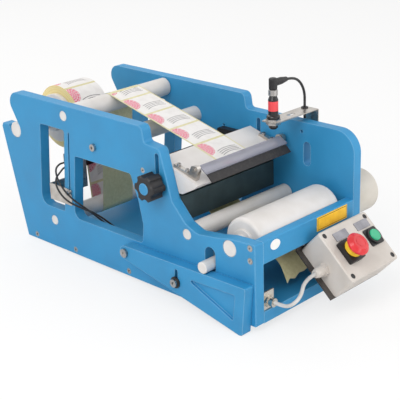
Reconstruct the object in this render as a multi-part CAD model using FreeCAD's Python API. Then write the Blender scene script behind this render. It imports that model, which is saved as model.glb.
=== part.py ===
import FreeCAD
import Part
import math
import os

# Bottle labelling machine. Millimetres. X runs from the near side plate to the far one,
# Y from front to rear, Z up from the lower edge of the side plates.

# frame
plate_t = 20.0
inner_gap = 232.0
board_t = 20.0
board_len = 575.0
rear_foot_y = 587.0
edge_break = 0.9
small_edge = 1.6
fit = 0.3

# rollers: (y, z) of each axis, then radii
guide_top_at = (448.5, 265.5)
guide_top_r = 17.0
guide_low_at = (499.0, 53.8)
guide_low_r = 16.0
spacer_at = (369.0, 224.0)
spacer_r = 16.0
journal_r = 9.25
front_roller_at = (53.2, 121.7)
front_roller_r = 40.0
front_journal_r = 14.0
rear_roller_at = (147.4, 120.3)
rear_roller_r = 15.6
feed_at = (272.0, 193.0)
feed_r = 15.5
pinch_at = (253.5, 174.0)
pinch_r = 10.0
feed_shaft_r = 4.0
bar_at = (96.0, 82.4)
bar_r = 10.0
bar_overhang = 20.0

# label reel and web
reel_at = (594.8, 212.0)
reel_lean = 58.5
notch_w = 30.6
spindle_r = 14.75
roll_r = 62.0
core_r = 41.0
core_t = 3.0
flange_r = 47.0
flange_t = 10.0
web_w = 76.0
web_x = 106.0
web_t = 0.4
label_t = 0.3
label_len = 58.0
label_pitch = 63.0

# peel table
table_nose = (137.0, 201.0)
table_rear = (230.0, 228.0)
table_t = 13.0
block_z = 177.5
clamp_at = (211.0, 193.0)
stud_r = 4.0
knob_r = 23.0
knob_len = 29.0

# squeegee
hinge_at = (150.0, 224.0)
hinge_r = 2.5
strip_t = 2.0
ear_t = 8.0

# feet
foot_t = 20.0
foot_pivot = (281.0, 56.4)
foot_end_r = 12.7
foot_bolt = (157.1, 38.8)
foot_drop = 10.9
foot_tip_y = 16.0

# control box
box_w = 126.2
box_h = 96.2
box_lid = 14.0
box_deep = 51.3
box_tilt = 42.6
box_at = (125.3, -94.8, 62.5)
box_wall = 3.0
stop_at = (34.7, 46.4)
stop_r = 20.0
start_at = (104.0, 50.7)

# bottle sensor
sensor_at = (188.0, 121.0)
strip_z = 273.5
strip_w = 30.0
sheet_t = 2.0

# gap sensor bracket bolt, at the foot of the strut slot
gap_bolt_at = (446.8, 121.5)

# cord diameters
control_d = 6.2
sensor_d = 4.6
gap_d = 3.4

x_in = plate_t
x_far = plate_t + inner_gap
x_out = plate_t + inner_gap + plate_t

# gland for the control cable inside the near plate, (x, z)
low_gland_at = (x_in + 11.5, 36.0)


def vec(p):
    return FreeCAD.Vector(p[0], p[1], p[2])


def unit(a, b):
    length = math.hypot(b[0] - a[0], b[1] - a[1])
    return ((b[0] - a[0]) / length, (b[1] - a[1]) / length)


def rounded(points, place, bevel=0.0):
    # closed wire through 2D corners (a, b) or (a, b, radius), radii up to bevel cut straight
    count = len(points)
    starts = []
    arcs = []
    for i in range(count):
        p = points[i]
        radius = p[2] if len(p) > 2 else 0.0
        before = unit(p, points[i - 1])
        after = unit(p, points[(i + 1) % count])
        cosine = max(-1.0, min(1.0, before[0] * after[0] + before[1] * after[1]))
        half = math.acos(cosine) / 2.0
        if radius <= 0.0 or half > 1.565:
            starts.append(((p[0], p[1]), (p[0], p[1])))
            arcs.append(None)
            continue
        reach = radius / math.tan(half)
        a = (p[0] + before[0] * reach, p[1] + before[1] * reach)
        b = (p[0] + after[0] * reach, p[1] + after[1] * reach)
        bis = ((before[0] + after[0]) / 2.0, (before[1] + after[1]) / 2.0)
        size = math.hypot(bis[0], bis[1])
        depth = radius / math.sin(half) - radius
        mid = (p[0] + bis[0] / size * depth, p[1] + bis[1] / size * depth)
        starts.append((a, b))
        arcs.append(mid if radius > bevel else "cut")
    edges = []
    for i in range(count):
        a, b = starts[i]
        if arcs[i] == "cut":
            edges.append(Part.LineSegment(place(a), place(b)).toShape())
        elif arcs[i] is not None:
            edges.append(Part.Arc(place(a), place(arcs[i]), place(b)).toShape())
        c = starts[(i + 1) % count][0]
        if math.hypot(b[0] - c[0], b[1] - c[1]) > 1e-4:
            edges.append(Part.LineSegment(place(b), place(c)).toShape())
    return Part.Wire(edges)


def prism_x(points, x0, x1):
    # YZ outline extruded along X
    wire = rounded(points, lambda p: FreeCAD.Vector(x0, p[0], p[1]))
    return Part.Face(wire).extrude(FreeCAD.Vector(x1 - x0, 0, 0))


def prism_z(points, z0, z1):
    wire = rounded(points, lambda p: FreeCAD.Vector(p[0], p[1], z0))
    return Part.Face(wire).extrude(FreeCAD.Vector(0, 0, z1 - z0))


def prism_y(points, y0, y1):
    # XZ outline extruded along Y
    wire = rounded(points, lambda p: FreeCAD.Vector(p[0], y0, p[1]))
    return Part.Face(wire).extrude(FreeCAD.Vector(0, y1 - y0, 0))


def block(x0, x1, y0, y1, z0, z1):
    corner = FreeCAD.Vector(x0, y0, z0)
    return Part.makeBox(x1 - x0, y1 - y0, z1 - z0, corner)


def rod_x(at, r, x0, x1):
    start = FreeCAD.Vector(x0, at[0], at[1])
    return Part.makeCylinder(r, x1 - x0, start, FreeCAD.Vector(1, 0, 0))


def rod(start, axis, r, length):
    return Part.makeCylinder(r, length, vec(start), vec(axis))


def turned_x(profile, at):
    # (x, radius, corner radius) profile turned about the X axis line through at
    wire = rounded(profile, lambda p: FreeCAD.Vector(p[0], at[0] + p[1], at[1]), small_edge)
    line = FreeCAD.Vector(0, at[0], at[1])
    return Part.Face(wire).revolve(line, FreeCAD.Vector(1, 0, 0), 360)


def turned_z(profile, x, y):
    # (radius, z, corner radius) profile turned about the Z line through x, y
    wire = rounded(profile, lambda p: FreeCAD.Vector(x + p[0], y, p[1]), small_edge)
    return Part.Face(wire).revolve(FreeCAD.Vector(x, y, 0), FreeCAD.Vector(0, 0, 1), 360)


def hexagon(flat, length, start, axis):
    # hexagonal bar of the given flat-to-flat width
    points = []
    for i in range(7):
        a = math.radians(60 * i)
        r = flat / math.sqrt(3.0)
        points.append(FreeCAD.Vector(r * math.cos(a), r * math.sin(a), 0))
    bar = Part.Face(Part.makePolygon(points)).extrude(FreeCAD.Vector(0, 0, length))
    turn = FreeCAD.Rotation(FreeCAD.Vector(0, 0, 1), vec(axis))
    bar.Placement = FreeCAD.Placement(vec(start), turn)
    return bar


def soften(shape, edges, size):
    return shape.makeChamfer(size, edges)


def flat_edges_x(shape, x):
    found = []
    for edge in shape.Edges:
        box = edge.BoundBox
        if abs(box.XMin - x) < 1e-4 and abs(box.XMax - x) < 1e-4:
            found.append(edge)
    return found


def union(shapes):
    first = shapes[0]
    if len(shapes) == 1:
        return first
    return first.fuse(shapes[1:]).removeSplitter()


def slot_x(a, b, w, x0, x1):
    # straight round-ended slot between two axis points
    d = unit(a, b)
    n = (-d[1] * w / 2.0, d[0] * w / 2.0)
    corners = [(a[0] + n[0], a[1] + n[1]), (b[0] + n[0], b[1] + n[1])]
    corners += [(b[0] - n[0], b[1] - n[1]), (a[0] - n[0], a[1] - n[1])]
    bar = prism_x(corners, x0, x1)
    return union([bar, rod_x(a, w / 2.0, x0, x1), rod_x(b, w / 2.0, x0, x1)])


def arc_slot_x(centre, radius, a0, a1, w, x0, x1):
    # round-ended slot that follows an arc, angles in degrees from +Y
    def at(r, a):
        turn = math.radians(a)
        return FreeCAD.Vector(x0, centre[0] + r * math.cos(turn), centre[1] + r * math.sin(turn))
    mid = (a0 + a1) / 2.0
    inner = radius - w / 2.0
    outer = radius + w / 2.0
    edges = [Part.Arc(at(outer, a0), at(outer, mid), at(outer, a1)).toShape()]
    edges.append(Part.LineSegment(at(outer, a1), at(inner, a1)).toShape())
    edges.append(Part.Arc(at(inner, a1), at(inner, mid), at(inner, a0)).toShape())
    edges.append(Part.LineSegment(at(inner, a0), at(outer, a0)).toShape())
    body = Part.Face(Part.Wire(edges)).extrude(FreeCAD.Vector(x1 - x0, 0, 0))
    ends = []
    for a in (a0, a1):
        p = at(radius, a)
        ends.append(rod_x((p.y, p.z), w / 2.0, x0, x1))
    return union([body] + ends)


def screw(start, axis, head_r, head_h, shank_r, length, key):
    # socket cap screw: start is under the head, axis points from head to tip
    inward = vec(axis)
    base = vec(start)
    head = Part.makeCylinder(head_r, head_h, base - inward * head_h, inward)
    shank = Part.makeCylinder(shank_r, length, base, inward)
    top = base - inward * head_h
    socket = hexagon(key, head_h * 0.55, (top.x, top.y, top.z), axis)
    return head.fuse(shank).removeSplitter().cut(socket)


# ---- side plates -------------------------------------------------------------------

slope = (math.cos(math.radians(reel_lean)), math.sin(math.radians(reel_lean)))
notch_left = (reel_at[0] - slope[1] * notch_w / 2.0, reel_at[1] + slope[0] * notch_w / 2.0)
ledge_z = 219.0
top_z = 285.5
low_top_z = 257.5


def on_notch(z):
    return notch_left[0] + (z - notch_left[1]) * slope[0] / slope[1]


rear_edge = [(rear_foot_y, 0.0), (638.0, 212.0, 3.0), (634.5, ledge_z, 2.0)]
rear_edge += [(on_notch(ledge_z), ledge_z), (on_notch(top_z), top_z, 21.0)]
near_front = [(244.5, top_z, 11.0), (240.0, 258.0, 7.0), (204.0, 254.0, 9.0)]
near_front += [(190.0, 206.0, 60.0), (180.0, 170.0, 12.0), (150.0, 138.0, 20.0)]
near_front += [(125.0, 127.5, 20.0), (80.0, 133.0, 30.0), (53.0, 138.5, 20.0)]
near_front += [(29.0, 140.0, 10.0), (0.0, 141.4, 3.0)]
far_front = [(244.5, top_z, 11.0), (240.0, low_top_z, 7.0), (0.0, low_top_z, 38.0)]
window_rear = [(518.0, 239.0, 5.0), (533.5, 80.0, 18.0), (465.3, 80.0, 5.0), (449.0, 239.0, 5.0)]
window_mid = [(424.5, 196.0, 5.0), (437.8, 74.5, 14.0), (256.0, 74.5, 8.0)]
window_mid += [(252.0, 109.0, 15.0), (260.5, 150.0, 40.0), (278.0, 196.0, 5.0)]

board_screw_y = [40.0, 167.0, 296.8, 443.0, 558.5]
rail_screw_z = [134.0, 112.5]
screw_head_r = 5.0
screw_r = 3.0
m8_r = 4.0


def plate(outline, x0, face_x):
    x1 = x0 + plate_t
    body = prism_x(outline, x0, x1)
    body = soften(body, flat_edges_x(body, face_x), edge_break)
    cuts = [prism_x(window_rear, x0 - 1, x1 + 1), prism_x(window_mid, x0 - 1, x1 + 1)]
    out = (reel_at[0] + slope[0] * 120.0, reel_at[1] + slope[1] * 120.0)
    cuts.append(slot_x(reel_at, out, notch_w, x0 - 1, x1 + 1))
    cuts.append(slot_x((210.5, 185.5), (210.5, 241.5), 9.0, x0 - 1, x1 + 1))
    cuts.append(slot_x((bar_at[0], 77.0), (bar_at[0], 100.5), 23.0, x0 - 1, x1 + 1))
    for at in (guide_top_at, guide_low_at, rear_roller_at):
        cuts.append(rod_x(at, journal_r + fit, x0 - 1, x1 + 1))
    cuts.append(rod_x(front_roller_at, front_journal_r + fit, x0 - 1, x1 + 1))
    cuts.append(rod_x(spacer_at, m8_r + 0.1, x0 - 1, x1 + 1))
    for y in board_screw_y:
        cuts += sunk(y, 9.5, x0, face_x)
    for z in rail_screw_z:
        cuts += sunk(10.0, z, x0, face_x)
    cuts.append(rod_x(foot_pivot, m8_r + 0.1, x0 - 1, x1 + 1))
    cuts.append(rod_x(foot_bolt, screw_r + 0.1, x0 - 1, x1 + 1))
    return body, cuts


def sunk(y, z, x0, face_x):
    # through hole with a counterbore in the outer face
    through = rod_x((y, z), screw_r + 0.1, x0 - 1, x0 + plate_t + 1)
    low = face_x - 1 if face_x == x0 else face_x - 5.0
    return [through, rod_x((y, z), screw_head_r + 0.4, low, low + 6.0)]


near_outline = [(0.0, 0.0, 2.0)] + rear_edge + near_front
body, cuts = plate(near_outline, 0.0, 0.0)
cuts.append(slot_x((437.3, 235.0), gap_bolt_at, 4.0, -1, plate_t + 1))
for z in (178.0, 209.0):
    cuts.append(rod_x((246.5, z), 2.6, -1, plate_t + 1))
    cuts.append(rod_x((246.5, z), 4.8, -1, 5.0))
side_plate_near = body.cut(cuts)

far_outline = [(0.0, 0.0, 2.0)] + rear_edge + far_front
body, cuts = plate(far_outline, x_far, x_out)
cuts.append(slot_x((100.0, 187.7), (100.0, 215.0), 15.5, x_far - 1, x_out + 1))
cuts.append(rod_x(feed_at, feed_shaft_r + fit, x_far - 1, x_out + 1))
cuts.append(rod_x((sensor_at[1] - 9.0, 240.0), 2.6, x_far - 1, x_out + 1))
for dy in (-23.57, 23.57):
    cuts.append(rod_x((feed_at[0] + dy, feed_at[1] + 23.57), 2.6, x_far - 1, x_out + 1))
for a in (60, 180, 300):
    at = (front_roller_at[0] + 30.0 * math.cos(math.radians(a)),
          front_roller_at[1] + 30.0 * math.sin(math.radians(a)))
    cuts.append(rod_x(at, 2.1, x_far - 1, x_out + 1))
for z in (178.0, 209.0):
    cuts.append(rod_x((246.5, z), 2.6, x_far - 1, x_out + 1))
    cuts.append(rod_x((246.5, z), 4.8, x_out - 5.0, x_out + 1))
side_plate_far = body.cut(cuts)

# ---- boards and cross parts ---------------------------------------------------------

base_board = block(x_in, x_far, 0.0, board_len, 0.0, board_t)
front_rail = prism_x([(0.0, 102.6, 1.0), (20.0, 102.6, 1.0), (20.0, 141.0, 1.0), (0.0, 141.0, 2.0)], x_in, x_far)
front_rail = front_rail.cut(rod_x(front_roller_at, front_roller_r + 1.6, x_in - 1, x_far + 1))
screws = []
holes = []
for y in board_screw_y:
    for x, way in ((4.0, 1), (x_out - 4.0, -1)):
        screws.append(screw((x, y, 9.5), (way, 0, 0), screw_head_r, 4.0, screw_r, 40.0, 4.0))
        holes.append(rod((x, y, 9.5), (way, 0, 0), screw_r + 0.1, 41.0))
base_board = base_board.cut(holes)
holes = []
for z in rail_screw_z:
    for x, way in ((4.0, 1), (x_out - 4.0, -1)):
        screws.append(screw((x, 10.0, z), (way, 0, 0), screw_head_r, 4.0, screw_r, 32.0, 4.0))
        holes.append(rod((x, 10.0, z), (way, 0, 0), screw_r + 0.1, 33.0))
front_rail = front_rail.cut(holes)
screws_all = list(screws)

spacer_bar = rod_x(spacer_at, spacer_r, x_in, x_far)
spacer_bar = spacer_bar.cut(rod_x(spacer_at, m8_r + 0.1, x_in - 1, x_in + 30))
spacer_bar = spacer_bar.cut(rod_x(spacer_at, m8_r + 0.1, x_far - 30, x_far + 1))
screws = []
for x, way in ((0.0, 1), (x_out, -1)):
    start = (x, spacer_at[0], spacer_at[1])
    screws.append(screw(start, (way, 0, 0), 6.5, 5.0, m8_r, 44.0, 5.0))
screws_all += screws

plaque = block(153.0, 233.0, -1.2, 0.0, 115.0, 139.0)
oval = Part.makeCylinder(8.5, 0.6, FreeCAD.Vector(0, 0, 0), FreeCAD.Vector(0, -1, 0))
stretch = FreeCAD.Matrix()
stretch.scale(FreeCAD.Vector(11.5 / 8.5, 1.0, 1.0))
oval = oval.transformGeometry(stretch)
oval.translate(FreeCAD.Vector(48.3, 0.0, 128.0))
rail_plaque = Part.makeCompound([plaque, oval])


# ---- rollers --------------------------------------------------------------------------


def roller(at, r, end_gap, corner):
    # plain roller with a journal at each end, flush with the plate faces
    a = x_in + end_gap
    b = x_far - end_gap
    profile = [(0.0, 0.0), (0.0, journal_r, 0.8), (a, journal_r), (a, r, corner)]
    profile += [(b, r, corner), (b, journal_r), (x_out, journal_r, 0.8), (x_out, 0.0)]
    return turned_x(profile, at)


guide_roller_top = roller(guide_top_at, guide_top_r, 1.0, 1.0)
guide_roller_low = roller(guide_low_at, guide_low_r, 1.0, 1.0)
rear_roller = roller(rear_roller_at, rear_roller_r, 1.0, 1.0)

shaft_end = x_out + 6.0
profile = [(0.0, 0.0), (0.0, front_journal_r, 1.0), (30.0, front_journal_r), (30.0, 22.0, 1.0)]
profile += [(34.0, 22.0), (34.0, front_roller_r, 7.0)]
profile += [(x_far - 16.0, front_roller_r, 7.0), (x_far - 16.0, 22.0), (x_far - 12.0, 22.0, 1.0)]
profile += [(x_far - 12.0, front_journal_r), (x_out - 1.0, front_journal_r, 0.8)]
profile += [(x_out - 1.0, 6.0), (shaft_end, 6.0), (shaft_end, 0.0)]
front_roller = turned_x(profile, front_roller_at)

# ---- reel -----------------------------------------------------------------------------

web_end = web_x + web_w
profile = [(0.0, 0.0), (0.0, spindle_r, 1.0), (x_out, spindle_r, 1.0), (x_out, 0.0)]
reel_spindle = turned_x(profile, reel_at)
core_in = core_r - core_t
flanges = []
hub = 12.0
for x, way in ((web_x - 0.5, -1), (web_end + 0.5, 1)):
    profile = [(x, flange_r - 0.0, 1.0), (x + way * flange_t, flange_r, 1.0)]
    profile += [(x + way * flange_t, 24.0), (x + way * (flange_t + 14.0), 24.0, 1.5)]
    profile += [(x + way * (flange_t + 14.0), spindle_r + 0.05), (x - way * hub, spindle_r + 0.05)]
    profile += [(x - way * hub, core_in - 0.1, 1.0), (x, core_in - 0.1)]
    disc = turned_x(profile, reel_at)
    grub = rod((x + way * (flange_t + 7.0), reel_at[0], reel_at[1]), (0, 0, 1), 2.5, 30.0)
    flanges.append(disc.cut(grub))
reel_flanges = Part.makeCompound(flanges)
roll_core = rod_x(reel_at, core_r, web_x, web_end).cut(rod_x(reel_at, core_in, web_x - 1, web_end + 1))
profile = [(web_x, core_r + 0.02), (web_x, roll_r, 0.4), (web_end, roll_r, 0.4), (web_end, core_r + 0.02)]
label_roll = turned_x(profile, reel_at)


# ---- web and liner ---------------------------------------------------------------------


def tangent(c0, c1):
    # belt tangent between two circles (y, z, r, sense), sense 1 turns from +Y towards +Z
    dy = c1[0] - c0[0]
    dz = c1[1] - c0[1]
    dist = math.hypot(dy, dz)
    base = math.atan2(dz, dy)
    swing = (c0[3] * c0[2] - c1[3] * c1[2]) / dist
    angle = base + math.asin(max(-1.0, min(1.0, swing)))
    heading = (math.cos(angle), math.sin(angle))
    # the circle centre lies to the left of travel for sense 1
    a = (c0[0] + c0[3] * c0[2] * heading[1], c0[1] - c0[3] * c0[2] * heading[0])
    b = (c1[0] + c1[3] * c1[2] * heading[1], c1[1] - c1[3] * c1[2] * heading[0])
    return a, b, heading


def belt(circles, first_angle, last_angle):
    # lines and arcs of a strip that passes the circles in turn
    spans = [tangent(circles[i], circles[i + 1]) for i in range(len(circles) - 1)]
    pieces = []
    for i in range(len(circles)):
        c = circles[i]
        if c[2] > 0.0:
            if i == 0:
                start = first_angle
            else:
                p = spans[i - 1][1]
                start = math.degrees(math.atan2(p[1] - c[1], p[0] - c[0]))
            if i == len(circles) - 1:
                stop = last_angle
            else:
                p = spans[i][0]
                stop = math.degrees(math.atan2(p[1] - c[1], p[0] - c[0]))
            if start is not None and stop is not None:
                turn = (stop - start) % 360.0 if c[3] > 0 else -((start - stop) % 360.0)
                if 0.05 < abs(turn) < 359.0:
                    pieces.append(("arc", (c[0], c[1]), c[2], c[3], start, start + turn))
        if i < len(spans):
            pieces.append(("line", spans[i][0], spans[i][1], spans[i][2]))
    return pieces


def strip_side(pieces, off):
    # edge list of the path moved off to its left
    ends = []
    for piece in pieces:
        if piece[0] == "line":
            n = (-piece[3][1] * off, piece[3][0] * off)
            a = (piece[1][0] + n[0], piece[1][1] + n[1])
            b = (piece[2][0] + n[0], piece[2][1] + n[1])
            ends.append([a, None, b])
        else:
            r = piece[2] - piece[3] * off
            at = []
            for turn in (piece[4], (piece[4] + piece[5]) / 2.0, piece[5]):
                t = math.radians(turn)
                at.append((piece[1][0] + r * math.cos(t), piece[1][1] + r * math.sin(t)))
            ends.append(at)
    return ends


def strip(pieces, low, high, x0, x1):
    # solid strip between two offsets of a path
    def place(p):
        return FreeCAD.Vector(x0, p[0], p[1])
    left = strip_side(pieces, high)
    right = strip_side(pieces, low)
    chain = left + [[left[-1][2], None, right[-1][2]]]
    for part in reversed(right):
        chain.append([part[2], part[1], part[0]])
    chain.append([right[0][0], None, left[0][0]])
    edges = []
    for i in range(len(chain)):
        a, mid, b = chain[i]
        if mid is None:
            if math.hypot(a[0] - b[0], a[1] - b[1]) > 1e-5:
                edges.append(Part.LineSegment(place(a), place(b)).toShape())
        else:
            edges.append(Part.Arc(place(a), place(mid), place(b)).toShape())
    wire = Part.Wire(Part.__sortEdges__(edges))
    return Part.Face(wire).extrude(FreeCAD.Vector(x1 - x0, 0, 0))


lift = 0.3 + web_t / 2.0
seat = 0.1 + web_t / 2.0
up = unit(table_nose, table_rear)
out = (-up[1], up[0])
nose_in = (149.5, 191.1)
nose_r = 1.2
nose_c = (table_nose[0] + 2.56, table_nose[1] - 0.5)
bend_r = 6.0
rear_seat = (table_rear[0] - out[0] * (bend_r - seat), table_rear[1] - out[1] * (bend_r - seat))
nose_top = (nose_c[0] + out[0] * (nose_r + seat), nose_c[1] + out[1] * (nose_r + seat))

web_circles = [(reel_at[0], reel_at[1], roll_r + lift, 1), (guide_low_at[0], guide_low_at[1], guide_low_r + lift, -1)]
web_circles += [(guide_top_at[0], guide_top_at[1], guide_top_r + lift, 1)]
web_circles += [(rear_seat[0], rear_seat[1], bend_r, 1), (nose_top[0], nose_top[1], 0.0, 1)]
web_path = belt(web_circles, 150.0, None)
label_web = strip(web_path, -web_t / 2.0, web_t / 2.0, web_x, web_end)

liner_circles = [(nose_c[0], nose_c[1], nose_r + seat, 1), (nose_in[0], nose_in[1], seat, 1)]
liner_circles += [(175.0, block_z, seat, 1), (231.0, block_z, seat, 1)]
liner_circles += [(pinch_at[0], pinch_at[1], pinch_r + lift, -1), (150.0, 177.0, 79.0, -1)]
liner_circles += [(bar_at[0], bar_at[1], bar_r + lift, 1), (58.0, 44.5, 25.0, 1), (23.5, 31.7, 0.0, 1)]
top_angle = math.degrees(math.atan2(out[1], out[0]))
liner_path = belt(liner_circles, top_angle, None)
backing_paper = strip(liner_path, -web_t / 2.0, web_t / 2.0, web_x, web_end)
tear = [(web_x - 1.0, 20.0), (web_x - 1.0, 31.0), (web_x + 9.0, 36.5), (web_x + 20.0, 33.0)]
tear += [(web_x + 34.0, 38.0), (web_x + 47.0, 37.0), (web_x + 60.0, 39.5), (web_end + 1.0, 38.5)]
tear += [(web_end + 1.0, 20.0)]
backing_paper = backing_paper.cut(prism_y(tear, 0.0, 60.0))


def labels_on(line, side, first):
    # label blanks laid along one straight run
    a, b, heading = line[1], line[2], line[3]
    run = math.hypot(b[0] - a[0], b[1] - a[1])
    found = []
    s = first
    while s + 4.0 < run:
        e = min(s + label_len, run - 1.0)
        p = (a[0] + heading[0] * s, a[1] + heading[1] * s)
        q = (a[0] + heading[0] * e, a[1] + heading[1] * e)
        piece = [("line", p, q, heading)]
        gap = web_t / 2.0
        low, high = (gap, gap + label_t) if side > 0 else (-gap - label_t, -gap)
        found.append(strip(piece, low, high, web_x + 3.0, web_end - 3.0))
        s += label_pitch
    return found


lines = [p for p in web_path if p[0] == "line"]
blanks = labels_on(lines[0], -1, 6.0) + labels_on(lines[1], -1, 4.0)
blanks += labels_on(lines[2], -1, 8.0) + labels_on(lines[3], -1, 3.0)
web_labels = Part.makeCompound(blanks)

# ---- peel table -------------------------------------------------------------------------

low_rear = (table_rear[0] - out[0] * table_t, table_rear[1] - out[1] * table_t)
joint = (nose_in[0] + 0.2, nose_in[1] - 0.1)
side_gap = 0.5
top_shape = [(table_nose[0], table_nose[1], nose_r), (table_rear[0], table_rear[1]), low_rear, nose_in]
peel_table = prism_x(top_shape, x_in + side_gap, x_far - side_gap)
block_shape = [nose_in, low_rear, (table_rear[0] + 1.0, block_z), (175.0, block_z)]
table_block = prism_x(block_shape, x_in + side_gap, x_far - side_gap)
for x, way in ((x_in, 1), (x_far, -1)):
    table_block = table_block.cut(rod((x, clamp_at[0], clamp_at[1]), (way, 0, 0), stud_r + fit, 24.0))
peel_beam = block(x_in, x_far, 176.0, 200.0, 128.0, 173.5)


def lobed_knob(x, way):
    # six-lobed clamping knob, x is its inner face
    grip = rod((x, clamp_at[0], clamp_at[1]), (way, 0, 0), knob_r, knob_len)
    scoops = []
    for i in range(6):
        a = math.radians(60 * i + 30)
        at = (x - way, clamp_at[0] + 27.5 * math.cos(a), clamp_at[1] + 27.5 * math.sin(a))
        scoops.append(rod(at, (way, 0, 0), 9.0, knob_len + 2.0))
    grip = grip.cut(scoops)
    face = x + way * knob_len
    edges = flat_edges_x(grip, face) + flat_edges_x(grip, x)
    grip = soften(grip, edges, 1.6)
    hub_shape = rod((x - way * 2.6, clamp_at[0], clamp_at[1]), (way, 0, 0), 10.0, 2.6)
    stud_len = plate_t + 3.0 + 20.0
    stud = rod((x - way * 2.6, clamp_at[0], clamp_at[1]), (-way, 0, 0), stud_r, stud_len)
    recess = rod((face - way * 1.5, clamp_at[0], clamp_at[1]), (way, 0, 0), 10.6, 3.0)
    knob = union([grip, hub_shape, stud]).cut(recess)
    profile = [(face - way * 1.5, 0.0), (face - way * 1.5, 10.3), (face + way * 1.2, 10.3, 1.0)]
    profile += [(face + way * 1.2, 0.0)]
    return knob, turned_x(profile, clamp_at)


clamp_knob_near, knob_cap_near = lobed_knob(-3.0, -1)
clamp_knob_far, knob_cap_far = lobed_knob(x_out + 3.0, 1)

# ---- squeegee -----------------------------------------------------------------------------


def table_z(y):
    return table_nose[1] + (y - table_nose[0]) * up[1] / up[0]


ears = []
bolts = []
for x in (26.0, x_far - 6.0 - ear_t):
    base = [(149.0, table_z(149.0) + 0.02), (199.0, table_z(199.0) + 0.02)]
    base += [(197.8, table_z(197.8) + 5.5, 1.0), (164.0, table_z(164.0) + 5.5, 4.0)]
    base += [(157.5, 229.0, 4.0), (144.0, 231.0, 5.0), (142.5, 221.0, 3.0)]
    ear = prism_x(base, x, x + ear_t)
    ear = ear.cut(rod_x(hinge_at, hinge_r + fit, x - 1, x + ear_t + 1))
    for y in (190.0, 171.0):
        foot_at = (x + ear_t / 2.0, y + out[0] * 0.05, table_z(y) + 5.5 + out[1] * 0.05)
        drill = rod((foot_at[0], foot_at[1], foot_at[2]), (0, up[1], -up[0]), 2.1, 14.0)
        ear = ear.cut(drill)
        peel_table = peel_table.cut(drill)
        bolts.append(screw(foot_at, (0, up[1], -up[0]), 3.6, 3.6, 2.0, 13.0, 3.0))
    ears.append(ear)
squeegee_brackets = Part.makeCompound(ears)
screws_all += bolts
hinge_bar = rod_x(hinge_at, hinge_r, 24.0, x_far - 4.0)
strip_a = (149.6, 227.6)
strip_b = (132.5, 217.0)
fall = unit(strip_a, strip_b)
lean = (-fall[1], fall[0])
strip_x0 = 35.0
strip_x1 = x_far - 7.0 - ear_t
piece = [("line", strip_a, strip_b, fall)]
squeegee_strip = strip(piece, -strip_t, 0.0, strip_x0, strip_x1)
blade_a = (strip_b[0] - fall[0] * 3.5, strip_b[1] - fall[1] * 3.5)
blade_b = (121.5, 205.5)
blade_way = unit(blade_a, blade_b)
piece = [("line", blade_a, blade_b, blade_way)]
squeegee_blade = strip(piece, 0.0, 1.6, strip_x0 + 2.0, strip_x1 - 2.0)
squeegee_blade = squeegee_blade.cut(squeegee_strip)
saddles = []
for x in (60.0, 136.0, 212.0):
    seat_low = (strip_a[0] + fall[0] * 5.0, strip_a[1] + fall[1] * 5.0)
    pad = prism_x([seat_low, (147.0, 221.0, 1.0), (153.3, 221.0, 2.0), (153.3, 226.6, 1.0), strip_a], x, x + 12.0)
    saddles.append(pad.cut([hinge_bar, squeegee_strip]))
squeegee_rod = Part.makeCompound([hinge_bar] + saddles)

# ---- liner drive ---------------------------------------------------------------------------

drive_gap = 15.0
a = x_in + drive_gap
b = x_far - drive_gap
profile = [(x_in + 2.0, 0.0), (x_in + 2.0, feed_shaft_r), (a, feed_shaft_r), (a, feed_r, 1.0)]
profile += [(b, feed_r, 1.0), (b, feed_shaft_r), (x_out + 2.0, feed_shaft_r), (x_out + 2.0, 0.0)]
feed_roller = turned_x(profile, feed_at)
profile = [(x_in + 2.0, 0.0), (x_in + 2.0, feed_shaft_r), (a, feed_shaft_r), (a, pinch_r, 1.0)]
profile += [(b, pinch_r, 1.0), (b, feed_shaft_r), (x_far - 2.0, feed_shaft_r), (x_far - 2.0, 0.0)]
pinch_roller = turned_x(profile, pinch_at)
cheek = [(243.0, 163.0, 4.0), (262.0, 163.0, 6.0), (300.0, 184.0, 6.0), (300.0, 215.0, 4.0), (241.0, 215.0, 4.0)]
cheeks = []
screws = []
for x0, x1, edge, way in ((x_in, x_in + drive_gap - 1.0, 0.0, 1), (x_far - drive_gap + 1.0, x_far, x_out, -1)):
    side = prism_x(cheek, x0, x1)
    bores = [rod_x(feed_at, feed_shaft_r + fit, x0 - 1, x1 + 1)]
    bores.append(rod_x(pinch_at, feed_shaft_r + fit, x0 - 1, x1 + 1))
    for z in (178.0, 209.0):
        head_x = edge + way * 5.0
        screws.append(screw((head_x, 246.5, z), (way, 0, 0), 4.4, 4.4, 2.5, 24.0, 3.5))
        bores.append(rod((edge, 246.5, z), (way, 0, 0), 2.6, 30.0))
    cheeks.append(side.cut(bores))
feed_bearing = Part.makeCompound(cheeks)
screws_all += screws
half = 28.2
corners = [(-half, -half, 4.0), (half, -half, 4.0), (half, half, 4.0), (-half, half, 4.0)]
square = [(feed_at[0] + p[0], feed_at[1] + p[1], p[2]) for p in corners]
feed_motor = prism_x(square, x_out, x_out + 6.0)
trim = [(feed_at[0] + p[0] * 0.93, feed_at[1] + p[1] * 0.93, 5.0) for p in corners]
feed_motor = union([feed_motor, prism_x(trim, x_out + 6.0, x_out + 44.0), prism_x(square, x_out + 44.0, x_out + 52.0)])
bores = [rod_x(feed_at, feed_shaft_r + fit, x_out - 1, x_out + 8.0)]
for dy in (-23.57, 23.57):
    for dz in (-23.57, 23.57):
        bores.append(rod_x((feed_at[0] + dy, feed_at[1] + dz), 2.6, x_out - 1, x_out + 7.0))
feed_motor = feed_motor.cut(bores)

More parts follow.
